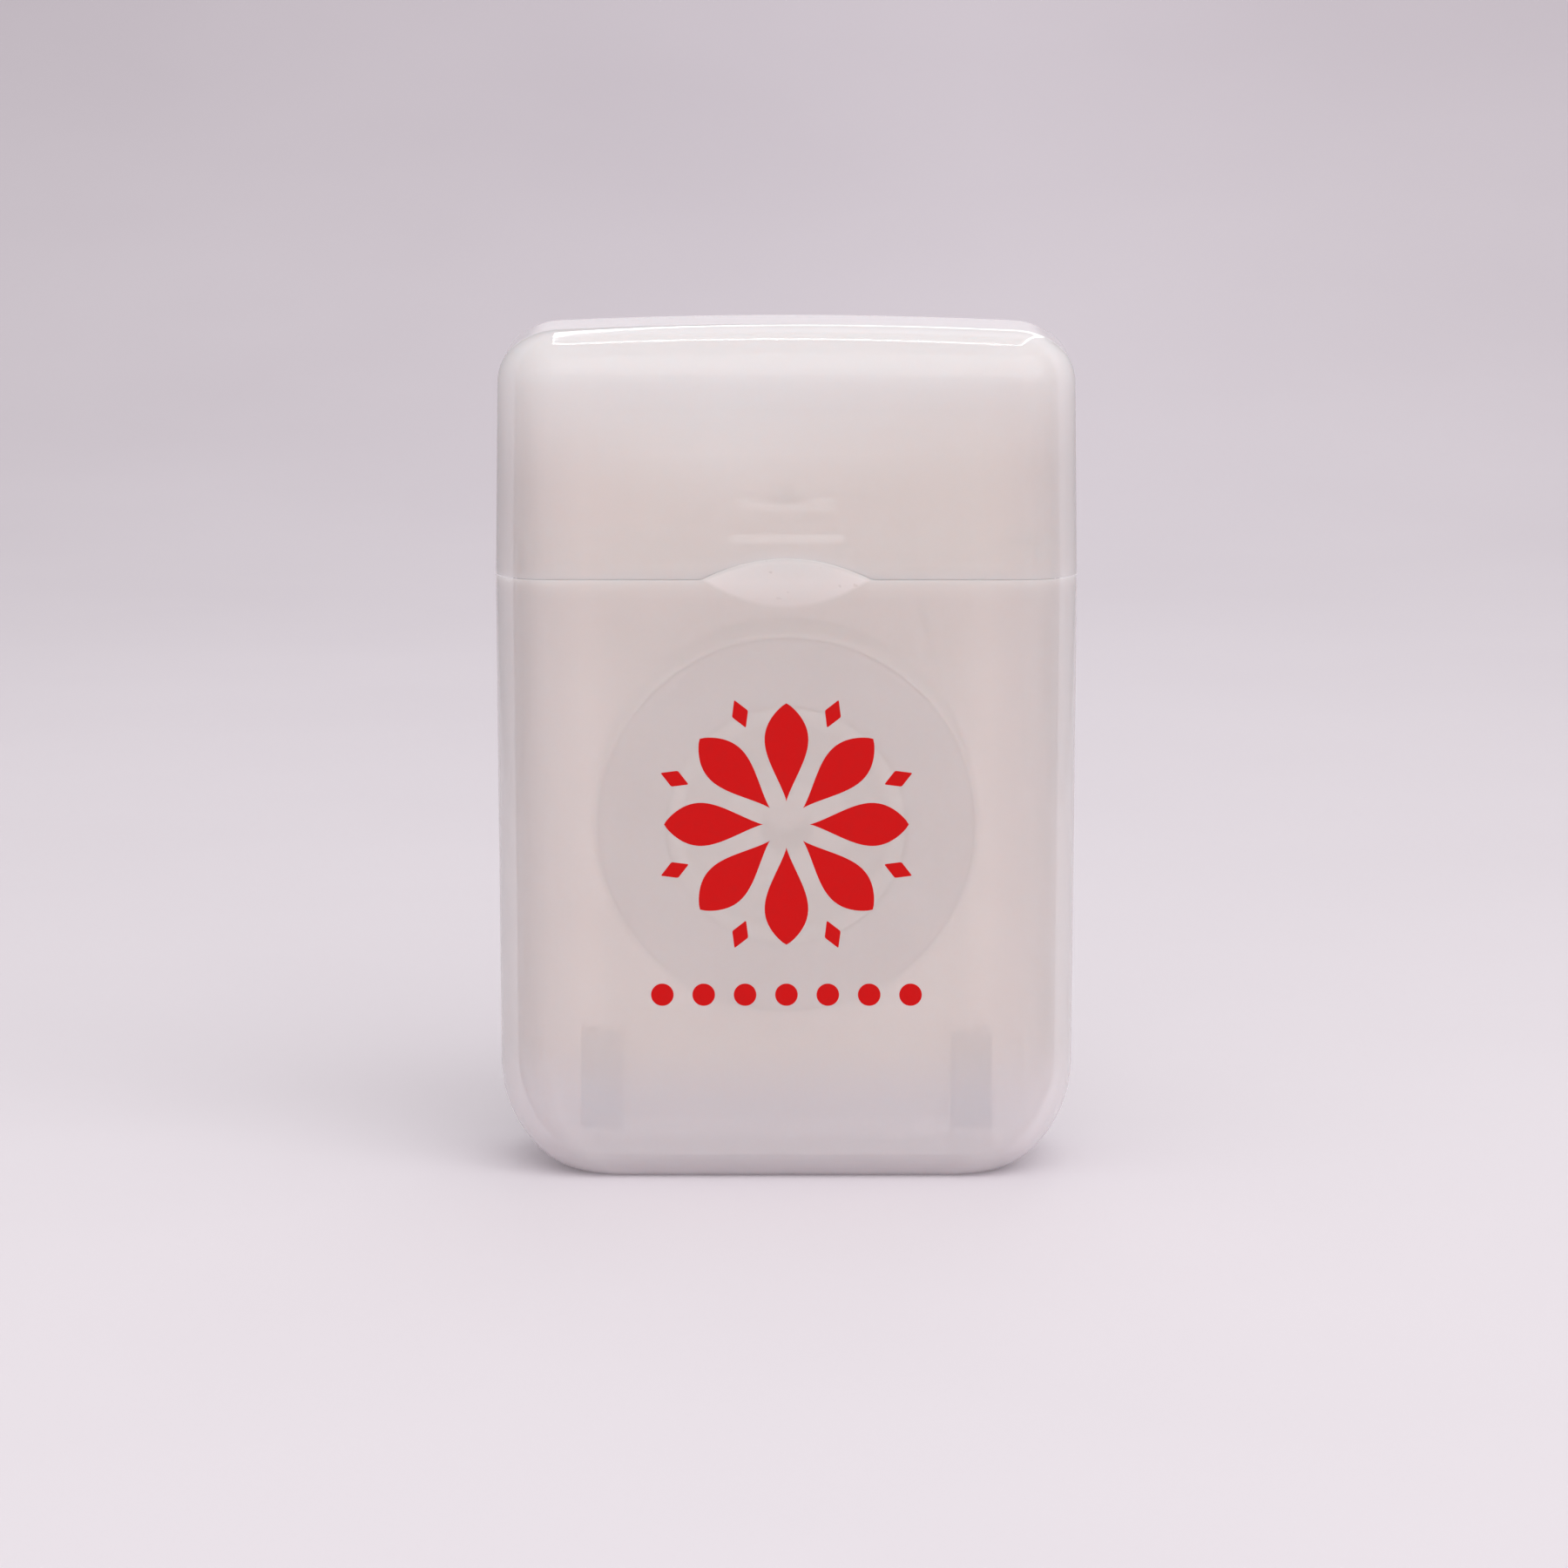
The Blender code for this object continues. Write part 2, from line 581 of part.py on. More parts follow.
def spool_hub(finish):
    """The core that the floss is wound on: a bore and a rim joined by a thin web."""
    centre = (HUB_FRONT + HUB_BACK) / 2
    bore_wall, rim = HUB_BORE + HUB_BORE_WALL, HUB_RADIUS - HUB_RIM
    web_front, web_back = centre - HUB_WEB / 2, centre + HUB_WEB / 2
    profile = [(HUB_BORE, HUB_FRONT), (bore_wall, HUB_FRONT), (bore_wall, web_front), (rim, web_front)]
    profile += [(rim, HUB_FRONT), (HUB_RADIUS, HUB_FRONT), (HUB_RADIUS, HUB_BACK), (rim, HUB_BACK)]
    profile += [(rim, web_back), (bore_wall, web_back), (bore_wall, HUB_BACK), (HUB_BORE, HUB_BACK)]
    hub = turned("spool_hub", profile, (0, 0, SPOOL_HEIGHT), "Y", TURNED_STEPS, finish)
    put_origin(hub, (0, 0, SPOOL_HEIGHT))
    return hub


def floss_pack(finish):
    """The inner layers of floss as one body, stepped down at the back where the outer layer starts."""
    bore = HUB_RADIUS + FIT_GAP
    shoulder = PACK_BACK - SHOULDER_WIDTH
    profile = [
        (bore, PACK_FRONT),
        (PACK_RADIUS - PACK_EDGE, PACK_FRONT),
        (PACK_RADIUS, PACK_FRONT + PACK_EDGE),
        (PACK_RADIUS, shoulder),
        (SHOULDER_RADIUS, shoulder),
        (SHOULDER_RADIUS, PACK_BACK - PACK_EDGE),
        (SHOULDER_RADIUS - PACK_EDGE, PACK_BACK),
        (bore, PACK_BACK),
    ]
    pack = turned("floss_pack", profile, (0, 0, SPOOL_HEIGHT), "Y", TURNED_STEPS, finish)
    put_origin(pack, (0, 0, SPOOL_HEIGHT))
    return pack


def winding_points():
    """The outer layer of floss: out of the shoulder, round in even turns, and off towards the eyelet."""
    rise = DECK_UNDERSIDE - SPOOL_HEIGHT
    away = math.hypot(EYELET_X, rise)
    leave = math.atan2(rise, EYELET_X) - math.acos(TURN_RADIUS / away)
    first_y = PACK_BACK - SHOULDER_WIDTH / 2
    last_y = PACK_FRONT + PACK_EDGE
    turns = int((first_y - last_y) / (FLOSS_DIAMETER + WINDING_GAP))
    share = np.linspace(0, 1, turns * LOOP_POINTS + 1)
    angle = leave + 2 * math.pi * turns * (share - 1)
    y = first_y + (last_y - first_y) * share
    coil = np.column_stack([TURN_RADIUS * np.cos(angle), y, TURN_RADIUS * np.sin(angle)])

    out = np.array([math.cos(leave), 0, math.sin(leave)])
    onward = np.array([-math.sin(leave), 0, math.cos(leave)])
    turn = np.linspace(0, math.pi / 2, BEND_POINTS, endpoint=False)[:, None]
    centre = (TURN_RADIUS - WINDING_BEND) * out + (0, first_y, 0)
    bend = centre + WINDING_BEND * (np.sin(turn) * out - np.cos(turn) * onward)
    root = bend[:1] - FLOSS_DIAMETER * out
    tail = coil[-1:] + FLOSS_DIAMETER * onward
    return np.vstack([root, bend, coil, tail]) + (0, 0, SPOOL_HEIGHT)


def least_gap(points, diameter):
    """The least clear distance between parts of a tube that aren't neighbours along it."""
    fine = np.vstack([np.linspace(a, b, SPAN_POINTS, endpoint=False) for a, b in zip(points, points[1:])])
    along = np.concatenate([[0], np.cumsum(np.linalg.norm(np.diff(fine, axis=0), axis=1))])
    least = math.inf
    for place, point in zip(along, fine):
        apart = np.abs(along - place) > WINDING_BEND * math.pi
        least = min(least, np.linalg.norm(fine[apart] - point, axis=1).min())
    return least - diameter


def floss_outer_turns(finish):
    """The layer of floss that shows, as one unbroken tube."""
    points = winding_points()
    print(f"least gap of the winding to itself: {least_gap(points, FLOSS_DIAMETER):.6f} m")
    turns = tube("floss_outer_turns", points, FLOSS_DIAMETER, 1, finish)
    put_origin(turns, (0, 0, SPOOL_HEIGHT))
    return turns


def floss_lead(finish):
    """The floss on its way from the spool through the eyelet and under the tongue of the cutter."""
    return tube("floss_lead", smooth_route(np.array(FLOSS_ROUTE), SPAN_POINTS), FLOSS_DIAMETER, 2, finish)


def main():
    """Clear the scene and make every piece."""
    for old in list(bpy.data.objects):
        bpy.data.objects.remove(old)
    milky = material("milky_plastic", (0.63, 0.56, 0.56), 0.28)
    white = material("white_plastic", (0.66, 0.60, 0.61), 0.40)
    steel = material("stainless_steel", (0.60, 0.60, 0.61), 0.25, 1.0)
    floss = material("waxed_floss", (0.75, 0.72, 0.73), 0.60)
    case_body(milky)
    lid(milky)
    living_hinge(milky)
    spool_carrier(white)
    floss_cutter(steel)
    spool_hub(white)
    floss_pack(floss)
    floss_outer_turns(floss)
    floss_lead(floss)


main()
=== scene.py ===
"""Looks of a flip-top dental floss dispenser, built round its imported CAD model.

Metres, +Z up, front towards -Y. Each sub-assembly is a class that works its surfaces out as numpy
grids: a stack of closed loops of points, one row for each loop, which become a closed shell.
"""

from __future__ import annotations

import logging
import math
from dataclasses import dataclass
from enum import Enum

import bpy
import numpy as np
from numpy.typing import NDArray
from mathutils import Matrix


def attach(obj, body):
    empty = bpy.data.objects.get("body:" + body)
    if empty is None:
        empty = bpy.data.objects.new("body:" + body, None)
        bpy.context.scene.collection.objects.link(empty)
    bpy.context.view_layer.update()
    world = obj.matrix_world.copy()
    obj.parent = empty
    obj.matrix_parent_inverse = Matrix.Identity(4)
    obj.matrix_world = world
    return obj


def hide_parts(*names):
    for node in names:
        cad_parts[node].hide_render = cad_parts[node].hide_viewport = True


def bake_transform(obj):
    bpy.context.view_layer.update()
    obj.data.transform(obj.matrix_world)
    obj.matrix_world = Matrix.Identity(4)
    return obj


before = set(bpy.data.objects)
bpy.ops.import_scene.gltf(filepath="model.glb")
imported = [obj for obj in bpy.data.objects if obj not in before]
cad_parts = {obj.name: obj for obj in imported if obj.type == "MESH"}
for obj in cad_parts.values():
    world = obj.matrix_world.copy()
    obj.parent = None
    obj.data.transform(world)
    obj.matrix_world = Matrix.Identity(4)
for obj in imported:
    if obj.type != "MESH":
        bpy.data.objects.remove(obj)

log = logging.getLogger("dispenser")
Points = NDArray[np.float64]
Indices = NDArray[np.int64]
Place = tuple[float, float, float]
Colour = tuple[float, float, float]
Tint = tuple[float, float, float, float]
Range = tuple[float, float]
Noise = tuple[float, float]  # repeats for each metre, and detail
Relief = tuple[float, float]  # a bump's strength, and its depth in metres
Socket = bpy.types.NodeSocket
Pair = tuple[float | Socket, float | Socket]
Look = bpy.types.Material

PLASTIC_IOR = 1.49
NOISE_MIDDLE = (0.3, 0.7)  # the range that most of a noise lies in
CLOSE = 1e-9
LEVEL_STEP = 1e-7  # loops of a wall stand at least this far apart
SMOOTH = 35.0  # degrees, the largest bend that is shaded smooth


class Body(Enum):
    """The CAD bodies that pieces ride on."""

    CASE = "case"
    LID = "lid"
    SPOOL = "spool"


class Slot(Enum):
    """The record's material slots."""

    MILKY = "milky_plastic"
    WHITE = "white_plastic"
    STEEL = "stainless_steel"
    FLOSS = "waxed_floss"


class Ends(Enum):
    """How the first and last loop of a shell are shut."""

    POLES = "a fan to one point at each end"
    JOINED = "the last loop joins the first"


class Shape:
    """A mesh in the making: closed shells, each a grid of points whose columns close into loops."""

    def __init__(self) -> None:
        """Start with no shells."""
        self.verts: list[Points] = []
        self.quads: list[Indices] = []
        self.fans: list[Indices] = []
        self.quad_maps: list[Points] = []
        self.fan_maps: list[Points] = []
        self.count = 0

    def add(
        self,
        rings: Points,
        ends: Ends = Ends.POLES,
        poles: tuple[Points, Points] | None = None,
        along: Points | None = None,
    ) -> Shape:
        """Add one closed shell.

        Neighbouring rows are joined by quads. Its volume, the sum of the tetrahedra from the
        origin to its triangles, tells whether the faces point out, and they are turned if not.

        Args:
            rings: rows x columns x 3 points.
            ends: how the first and last row are shut.
            poles: the two points of the fans, or None for the mean of each end's loop.
            along: each row's place along the piece in metres, for the UV map.

        Returns:
            This shape.
        """
        rows, columns = rings.shape[:2]
        here = np.arange(columns)
        after = np.roll(here, -1)
        joined = ends is Ends.JOINED
        low = np.arange(rows if joined else rows - 1)
        high = (low + 1) % rows
        a, b = low[:, None] * columns, high[:, None] * columns
        quads = np.stack([a + here, a + after, b + after, b + here], axis=2).reshape(-1, 4)

        place = np.arange(rows, dtype=float) if along is None else along
        v_low, v_high = place[low][:, None], place[low + 1 if not joined else high][:, None]
        u = here / columns
        step = 1 / columns
        corners = [(u, v_low), (u + step, v_low), (u + step, v_high), (u, v_high)]
        maps = np.stack([np.stack(np.broadcast_arrays(*c), axis=2) for c in corners], axis=2)
        maps = maps.reshape(-1, 4, 2)

        verts = rings.reshape(-1, 3)
        fans = np.zeros((0, 3), dtype=int)
        fan_maps = np.zeros((0, 3, 2))
        if not joined:
            first, last = poles or (rings[0].mean(axis=0), rings[-1].mean(axis=0))
            size = len(verts)
            verts = np.vstack([verts, first, last])
            top = (rows - 1) * columns
            start = np.column_stack([np.full(columns, size), after, here])
            stop = np.column_stack([top + here, top + after, np.full(columns, size + 1)])
            fans = np.vstack([start, stop])
            ends_map = [np.column_stack([u, np.full(columns, v)]) for v in (place[0], place[-1])]
            fan_maps = np.vstack([np.repeat(m[:, None], 3, axis=1) for m in ends_map])

        triangles = np.vstack([quads[:, [0, 1, 2]], quads[:, [0, 2, 3]], fans])
        p, q, r = (verts[triangles[:, k]] for k in range(3))
        if np.einsum("ij,ij->", p, np.cross(q, r)) < 0:
            quads, maps = quads[:, ::-1], maps[:, ::-1]
            fans, fan_maps = fans[:, ::-1], fan_maps[:, ::-1]
        self.verts.append(verts)
        self.quads.append(quads + self.count)
        self.fans.append(fans + self.count)
        self.quad_maps.append(maps)
        self.fan_maps.append(fan_maps)
        self.count += len(verts)
        return self

    def build(self, name: str, smooth: float = SMOOTH) -> bpy.types.Object:
        """Make the object, smooth but for the edges that bend by more than an angle.

        Args:
            name: the piece's name.
            smooth: the largest bend in degrees that is shaded smooth.

        Returns:
            The object, at the origin.
        """
        mesh = bpy.data.meshes.new(name)
        faces = np.vstack(self.quads).tolist() + np.vstack(self.fans).tolist()
        mesh.from_pydata(np.vstack(self.verts).tolist(), [], faces)
        flat = [m.reshape(-1, 2) for m in (*self.quad_maps, *self.fan_maps)]
        layer = mesh.uv_layers.new(name="UVMap")
        layer.data.foreach_set("uv", np.vstack(flat).astype(np.float32).ravel())
        mesh.shade_smooth()
        mesh.set_sharp_from_angle(angle=math.radians(smooth))
        made = bpy.data.objects.new(name, mesh)
        bpy.context.scene.collection.objects.link(made)
        return made


def circle(steps: int) -> Points:
    """The angles of evenly spaced columns round a full turn."""
    return np.arange(steps) * (2 * math.pi / steps)


def quarter_turn(steps: int) -> Points:
    """Evenly spaced angles from 0 to a quarter turn."""
    return np.linspace(0, math.pi / 2, steps)


def unit(vectors: Points) -> Points:
    """Vectors made one long."""
    return vectors / np.linalg.norm(vectors, axis=1, keepdims=True)


def at_heights(flat: Points, height: Points) -> Points:
    """Rows of (x, y) points, each row at a height of its own."""
    level = np.broadcast_to(height[:, None, None], (*flat.shape[:2], 1))
    return np.concatenate([flat, level], axis=2)


def ease(share: Points) -> Points:
    """A smooth step: three times the square less twice the cube, of a share held to 0 and 1."""
    held = np.clip(share, 0, 1)
    return held * held * (3 - 2 * held)


def rounded_outline(corners: Points, radius: float, steps: int = 4) -> Points:
    """A closed outline with every corner rounded.

    Each corner gives way to a quadratic curve: A(1-t)^2 + 2Pt(1-t) + Bt^2, where A and B lie on
    the corner's two edges, at the radius or at 45% of the edge, whichever is nearer.

    Args:
        corners: n x 2 points.
        radius: how far from each corner the curve starts.
        steps: pieces of each curve.

    Returns:
        n * (steps + 1) x 2 points.
    """
    back, on = np.roll(corners, 1, axis=0) - corners, np.roll(corners, -1, axis=0) - corners
    back_long = np.linalg.norm(back, axis=1, keepdims=True)
    on_long = np.linalg.norm(on, axis=1, keepdims=True)
    reach = np.minimum(radius, 0.45 * np.minimum(back_long, on_long))
    start = (corners + back / back_long * reach)[:, None]
    stop = (corners + on / on_long * reach)[:, None]
    t = np.linspace(0, 1, steps + 1)[None, :, None]
    curve = start * (1 - t) ** 2 + 2 * corners[:, None] * t * (1 - t) + stop * t**2
    return curve.reshape(-1, 2)


def turned(profile: Points, centre: Place, axis: str, steps: int) -> Points:
    """Loops round an axis, one for each point of a profile of (radius, place along the axis).

    Formula: centre + radius * (cos a, sin a) across the axis + place along it.

    Args:
        profile: n x 2 points.
        centre: the origin of the axis.
        axis: X, Y or Z.
        steps: columns round the axis.

    Returns:
        n x steps x 3 points.
    """
    a = circle(steps)
    side, rise = profile[:, :1] * np.cos(a), profile[:, :1] * np.sin(a)
    level = np.broadcast_to(profile[:, 1:], side.shape)
    order = {"X": (level, side, rise), "Y": (side, level, rise), "Z": (side, rise, level)}[axis]
    return np.stack(order, axis=2) + np.array(centre)


def tube(path: Points, radius: Points | float, columns: int, steady: Place) -> Points:
    """Round loops carried along a path that never runs along the steady direction.

    Formula: point + radius * (cos a * n + sin a * b), where n is tangent x steady and b is
    tangent x n, both made one long.

    Args:
        path: n x 3 points.
        radius: the tube's radius, or one for each point.
        columns: points round each loop.
        steady: the direction that keeps the loops from twisting.

    Returns:
        n x columns x 3 points.
    """
    tangent = unit(np.gradient(path, axis=0))
    n = unit(np.cross(tangent, steady))
    b = np.cross(tangent, n)
    a = circle(columns)[None, :, None]
    thick = np.broadcast_to(radius, len(path))[:, None, None]
    return path[:, None] + thick * (np.cos(a) * n[:, None] + np.sin(a) * b[:, None])


def smooth_route(route: Points, steps: int) -> Points:
    """Points along a Catmull-Rom curve through every point of the route.

    Formula, for neighbours a, b, c, d and a share t of the way from b to c:
    b + t/2 * (c - a + t * (2a - 5b + 4c - d + t * (3b - 3c + d - a))).

    Args:
        route: n x 3 points.
        steps: points for each stretch.

    Returns:
        (n - 1) * steps + 1 x 3 points.
    """
    whole = np.vstack([2 * route[0] - route[1], route, 2 * route[-1] - route[-2]])
    a, b, c, d = (whole[k : len(route) - 1 + k, None] for k in range(4))
    t = np.linspace(0, 1, steps, endpoint=False)[None, :, None]
    curve = b + t / 2 * (c - a + t * (2 * a - 5 * b + 4 * c - d + t * (3 * b - 3 * c + d - a)))
    return np.vstack([curve.reshape(-1, 3), route[-1:]])


def lengths(path: Points) -> Points:
    """How far along a path each of its points lies."""
    return np.concatenate([[0], np.cumsum(np.linalg.norm(np.diff(path, axis=0), axis=1))])


@dataclass(frozen=True)
class Perimeter:
    """Where the columns of a rounded rectangle stand.

    Attributes:
        bend: half width of the middle stretch of the long edges, whose columns crowd towards its
            ends as the sine does, so that a half ellipse over it comes out smooth.
        flank_steps: columns along half of a short edge.
        corner_steps: columns round a corner.
        edge_steps: columns between a corner and the middle stretch.
        bend_steps: columns along half of the middle stretch.
    """

    bend: float = 0.0060
    flank_steps: int = 5
    corner_steps: int = 18
    edge_steps: int = 10
    bend_steps: int = 26

    def rings(
        self, half_width: Points, half_depth: Points, corner: Points, height: Points
    ) -> Points:
        """Rounded rectangles, one row for each size, anticlockwise from above.

        One quarter is worked out: straight up the flank, round the corner by its angle, along the
        edge to the middle stretch, and along that by bend * sin(angle). The others mirror it.

        Args:
            half_width: half sizes along X.
            half_depth: half sizes along Y.
            corner: corner radii.
            height: heights.

        Returns:
            rows x columns x 3 points.
        """
        given = (np.atleast_1d(v).astype(float) for v in (half_width, half_depth, corner, height))
        wide, deep, bend_radius, level = (v[:, None] for v in np.broadcast_arrays(*given))
        flat_x, flat_y = wide - bend_radius, deep - bend_radius
        flank = np.arange(self.flank_steps) / self.flank_steps
        turn = np.linspace(0, math.pi / 2, self.corner_steps, endpoint=False)
        edge = np.arange(self.edge_steps) / self.edge_steps
        sweep = np.linspace(math.pi / 2, 0, self.bend_steps + 1)
        middle = np.minimum(self.bend, flat_x * 0.9)
        bent = flat_x + bend_radius * np.cos(turn)
        x = [wide + 0 * flank, bent, flat_x + (middle - flat_x) * edge]
        y = [flat_y * flank, flat_y + bend_radius * np.sin(turn), deep + 0 * edge]
        x = np.hstack([*x, middle * np.sin(sweep)])
        y = np.hstack([*y, deep + 0 * sweep])
        quarter = np.stack([x, y, np.broadcast_to(level, x.shape)], axis=2)
        back = np.concatenate([quarter[:, :-1], (quarter * (-1, 1, 1))[:, :0:-1]], axis=1)
        return np.concatenate([back, back * (-1, -1, 1)], axis=1)


def shrunk(ring: Points, shares: Points) -> Points:
    """Copies of a loop drawn in towards the Z axis by each share, at its own height."""
    return ring[None] * np.column_stack([shares, shares, np.ones(len(shares))])[:, None]


EDGE_STEPS = 4
CAP_SHARES = np.array([0.03, 0.2, 0.4, 0.6, 0.8, 0.93])
PLAIN = Perimeter(bend=0.001, flank_steps=6, corner_steps=5, edge_steps=6, bend_steps=2)


def slab(low: Place, high: Place, corner: float, edge: float, axis: str = "Z") -> Points:
    """A block with rounded corners across an axis and a rounded edge at both ends of it.

    The loops' inset follows edge * (1 - sin a) and their height edge * (1 - cos a) from each end.

    Args:
        low: its lowest corner.
        high: its highest corner.
        corner: radius of the four corners round the axis.
        edge: radius of the edges at its two ends.
        axis: Y or Z, the axis that the loops are stacked along.

    Returns:
        rows x columns x 3 points.
    """
    order = [0, 1, 2] if axis == "Z" else [0, 2, 1]
    first, last = np.array(low)[order], np.array(high)[order]
    centre, half = (first + last) / 2, (last - first) / 2
    a = quarter_turn(EDGE_STEPS)
    inset = np.concatenate([edge * (1 - np.sin(a)), edge * (1 - np.sin(a[::-1]))])
    rise = edge * (1 - np.cos(a))
    level = np.concatenate([rise - half[2], half[2] - rise[::-1]])
    corners = np.maximum(corner - inset, corner / 4)
    rings = PLAIN.rings(half[0] - inset, half[1] - inset, corners, level)
    return (rings + centre)[:, :, order]


def ruled(inner: Points, outer: Points, shares: Points) -> Points:
    """Loops between two loops, a share of the way from the inner to the outer one."""
    return inner[None] + (outer - inner)[None] * shares[:, None, None]


class Graph:
    """A node tree, with short calls to add and join its nodes."""

    def __init__(self, tree: bpy.types.NodeTree) -> None:
        """Take the tree."""
        self.nodes = tree.nodes
        self.links = tree.links

    def node(
        self, kind: str, inputs: dict[str | int, object], **settings: object
    ) -> bpy.types.Node:
        """Add a node.

        Args:
            kind: the node's type name.
            inputs: a value or an output for each named or numbered socket.
            settings: properties of the node.

        Returns:
            The node.
        """
        made = self.nodes.new(kind)
        for name, value in settings.items():
            setattr(made, name, value)
        for name, value in inputs.items():
            if isinstance(value, Socket):
                self.links.new(value, made.inputs[name])
            else:
                made.inputs[name].default_value = value
        return made

    def spread(
        self, value: Socket, source: Range, target: Pair = (0, 1), **settings: str
    ) -> Socket:
        """Map one range to another, held to its ends.

        Args:
            value: what to map.
            source: the range that it is taken from.
            target: what the two ends of the source turn to, as numbers or outputs.
            settings: properties of the node.

        Returns:
            The mapped value.
        """
        sockets = {"Value": value, "From Min": source[0], "From Max": source[1]}
        sockets |= {"To Min": target[0], "To Max": target[1]}
        return self.node("ShaderNodeMapRange", sockets, **settings).outputs["Result"]

    def maths(self, operation: str, *values: float | Socket) -> Socket:
        """One step of arithmetic."""
        return self.node("ShaderNodeMath", dict(enumerate(values)), operation=operation).outputs[0]

    def times(self, first: float | Socket, *others: float | Socket) -> Socket:
        """The product of all the values.

        Args:
            first: a value.
            others: what it is multiplied by.

        Returns:
            The product.
        """
        for other in others:
            first = self.maths("MULTIPLY", first, other)
        return first

    def plus(self, one: float | Socket, other: float | Socket) -> Socket:
        """The sum of two values."""
        return self.maths("ADD", one, other)

    def away(self, value: Socket, middle: float | Socket = 0.0) -> Socket:
        """How far a value lies from another one."""
        return self.maths("ABSOLUTE", self.maths("SUBTRACT", value, middle))

    def vector(self, operation: str, *values: Place | Socket, output: str = "Vector") -> Socket:
        """One step of vector arithmetic."""
        made = self.node("ShaderNodeVectorMath", dict(enumerate(values)), operation=operation)
        return made.outputs[output]

    def parts(self, point: Socket) -> bpy.types.NodeOutputs:
        """The X, Y and Z of a point."""
        return self.node("ShaderNodeSeparateXYZ", {"Vector": point}).outputs


class Tree(Graph):
    """A material's nodes."""

    def __init__(self, name: str) -> None:
        """Start a material with its Principled shader alone.

        Args:
            name: the material's name.
        """
        self.material = bpy.data.materials.new(name)
        self.material.use_nodes = True
        super().__init__(self.material.node_tree)
        self.shader = self.nodes["Principled BSDF"]

    def plain(self, **values: float | tuple[float, ...]) -> None:
        """Set sockets of the shader by name, with _ for a space."""
        for name, value in values.items():
            self.shader.inputs[name.replace("_", " ")].default_value = value

    def drive(self, name: str, socket: Socket) -> None:
        """Join an output to one of the shader's sockets."""
        self.links.new(socket, self.shader.inputs[name])

    def place(self, stretch: Place = (1, 1, 1), output: str = "Object") -> Socket:
        """The point on the piece, stretched along each axis."""
        point = self.nodes.new("ShaderNodeTexCoord").outputs[output]
        return self.node("ShaderNodeMapping", {"Vector": point, "Scale": stretch}).outputs["Vector"]

    def noise(self, point: Socket, scale: float, detail: float) -> Socket:
        """Soft noise at a scale in repeats for each metre."""
        sockets = {"Vector": point, "Scale": scale, "Detail": detail}
        return self.node("ShaderNodeTexNoise", sockets).outputs["Fac"]

    def vary(self, point: Socket, noise: Noise, target: Range) -> Socket:
        """A value that wanders over a range as a noise does."""
        return self.spread(self.noise(point, *noise), NOISE_MIDDLE, target)

    def blend(self, share: Socket, one: Colour | Socket, other: Colour | Socket) -> Socket:
        """A colour between two, by a share.

        Args:
            share: 0 for the one and 1 for the other.
            one: a colour or an output.
            other: a colour or an output.

        Returns:
            The colour between them.
        """
        ends = [colour if isinstance(colour, Socket) else opaque(colour) for colour in (one, other)]
        made = self.node("ShaderNodeMix", {0: share, 6: ends[0], 7: ends[1]}, data_type="RGBA")
        return made.outputs[2]

    def thin(self, cover: float | Socket) -> None:
        """Let a wall's two faces pass light as one.

        A face covers its share when seen from outside, and nothing when seen from behind.
        """
        behind = self.nodes.new("ShaderNodeNewGeometry").outputs["Backfacing"]
        self.drive("Alpha", self.times(self.spread(behind, (0, 1), (1, 0)), cover))

    def bump(self, height: Socket, strength: float, distance: float) -> None:
        """Give the shader a bumped normal."""
        sockets = {"Height": height, "Strength": strength, "Distance": distance}
        self.drive("Normal", self.node("ShaderNodeBump", sockets).outputs["Normal"])


def opaque(colour: Colour) -> Tint:
    """A colour with full alpha."""
    return (*colour, 1.0)


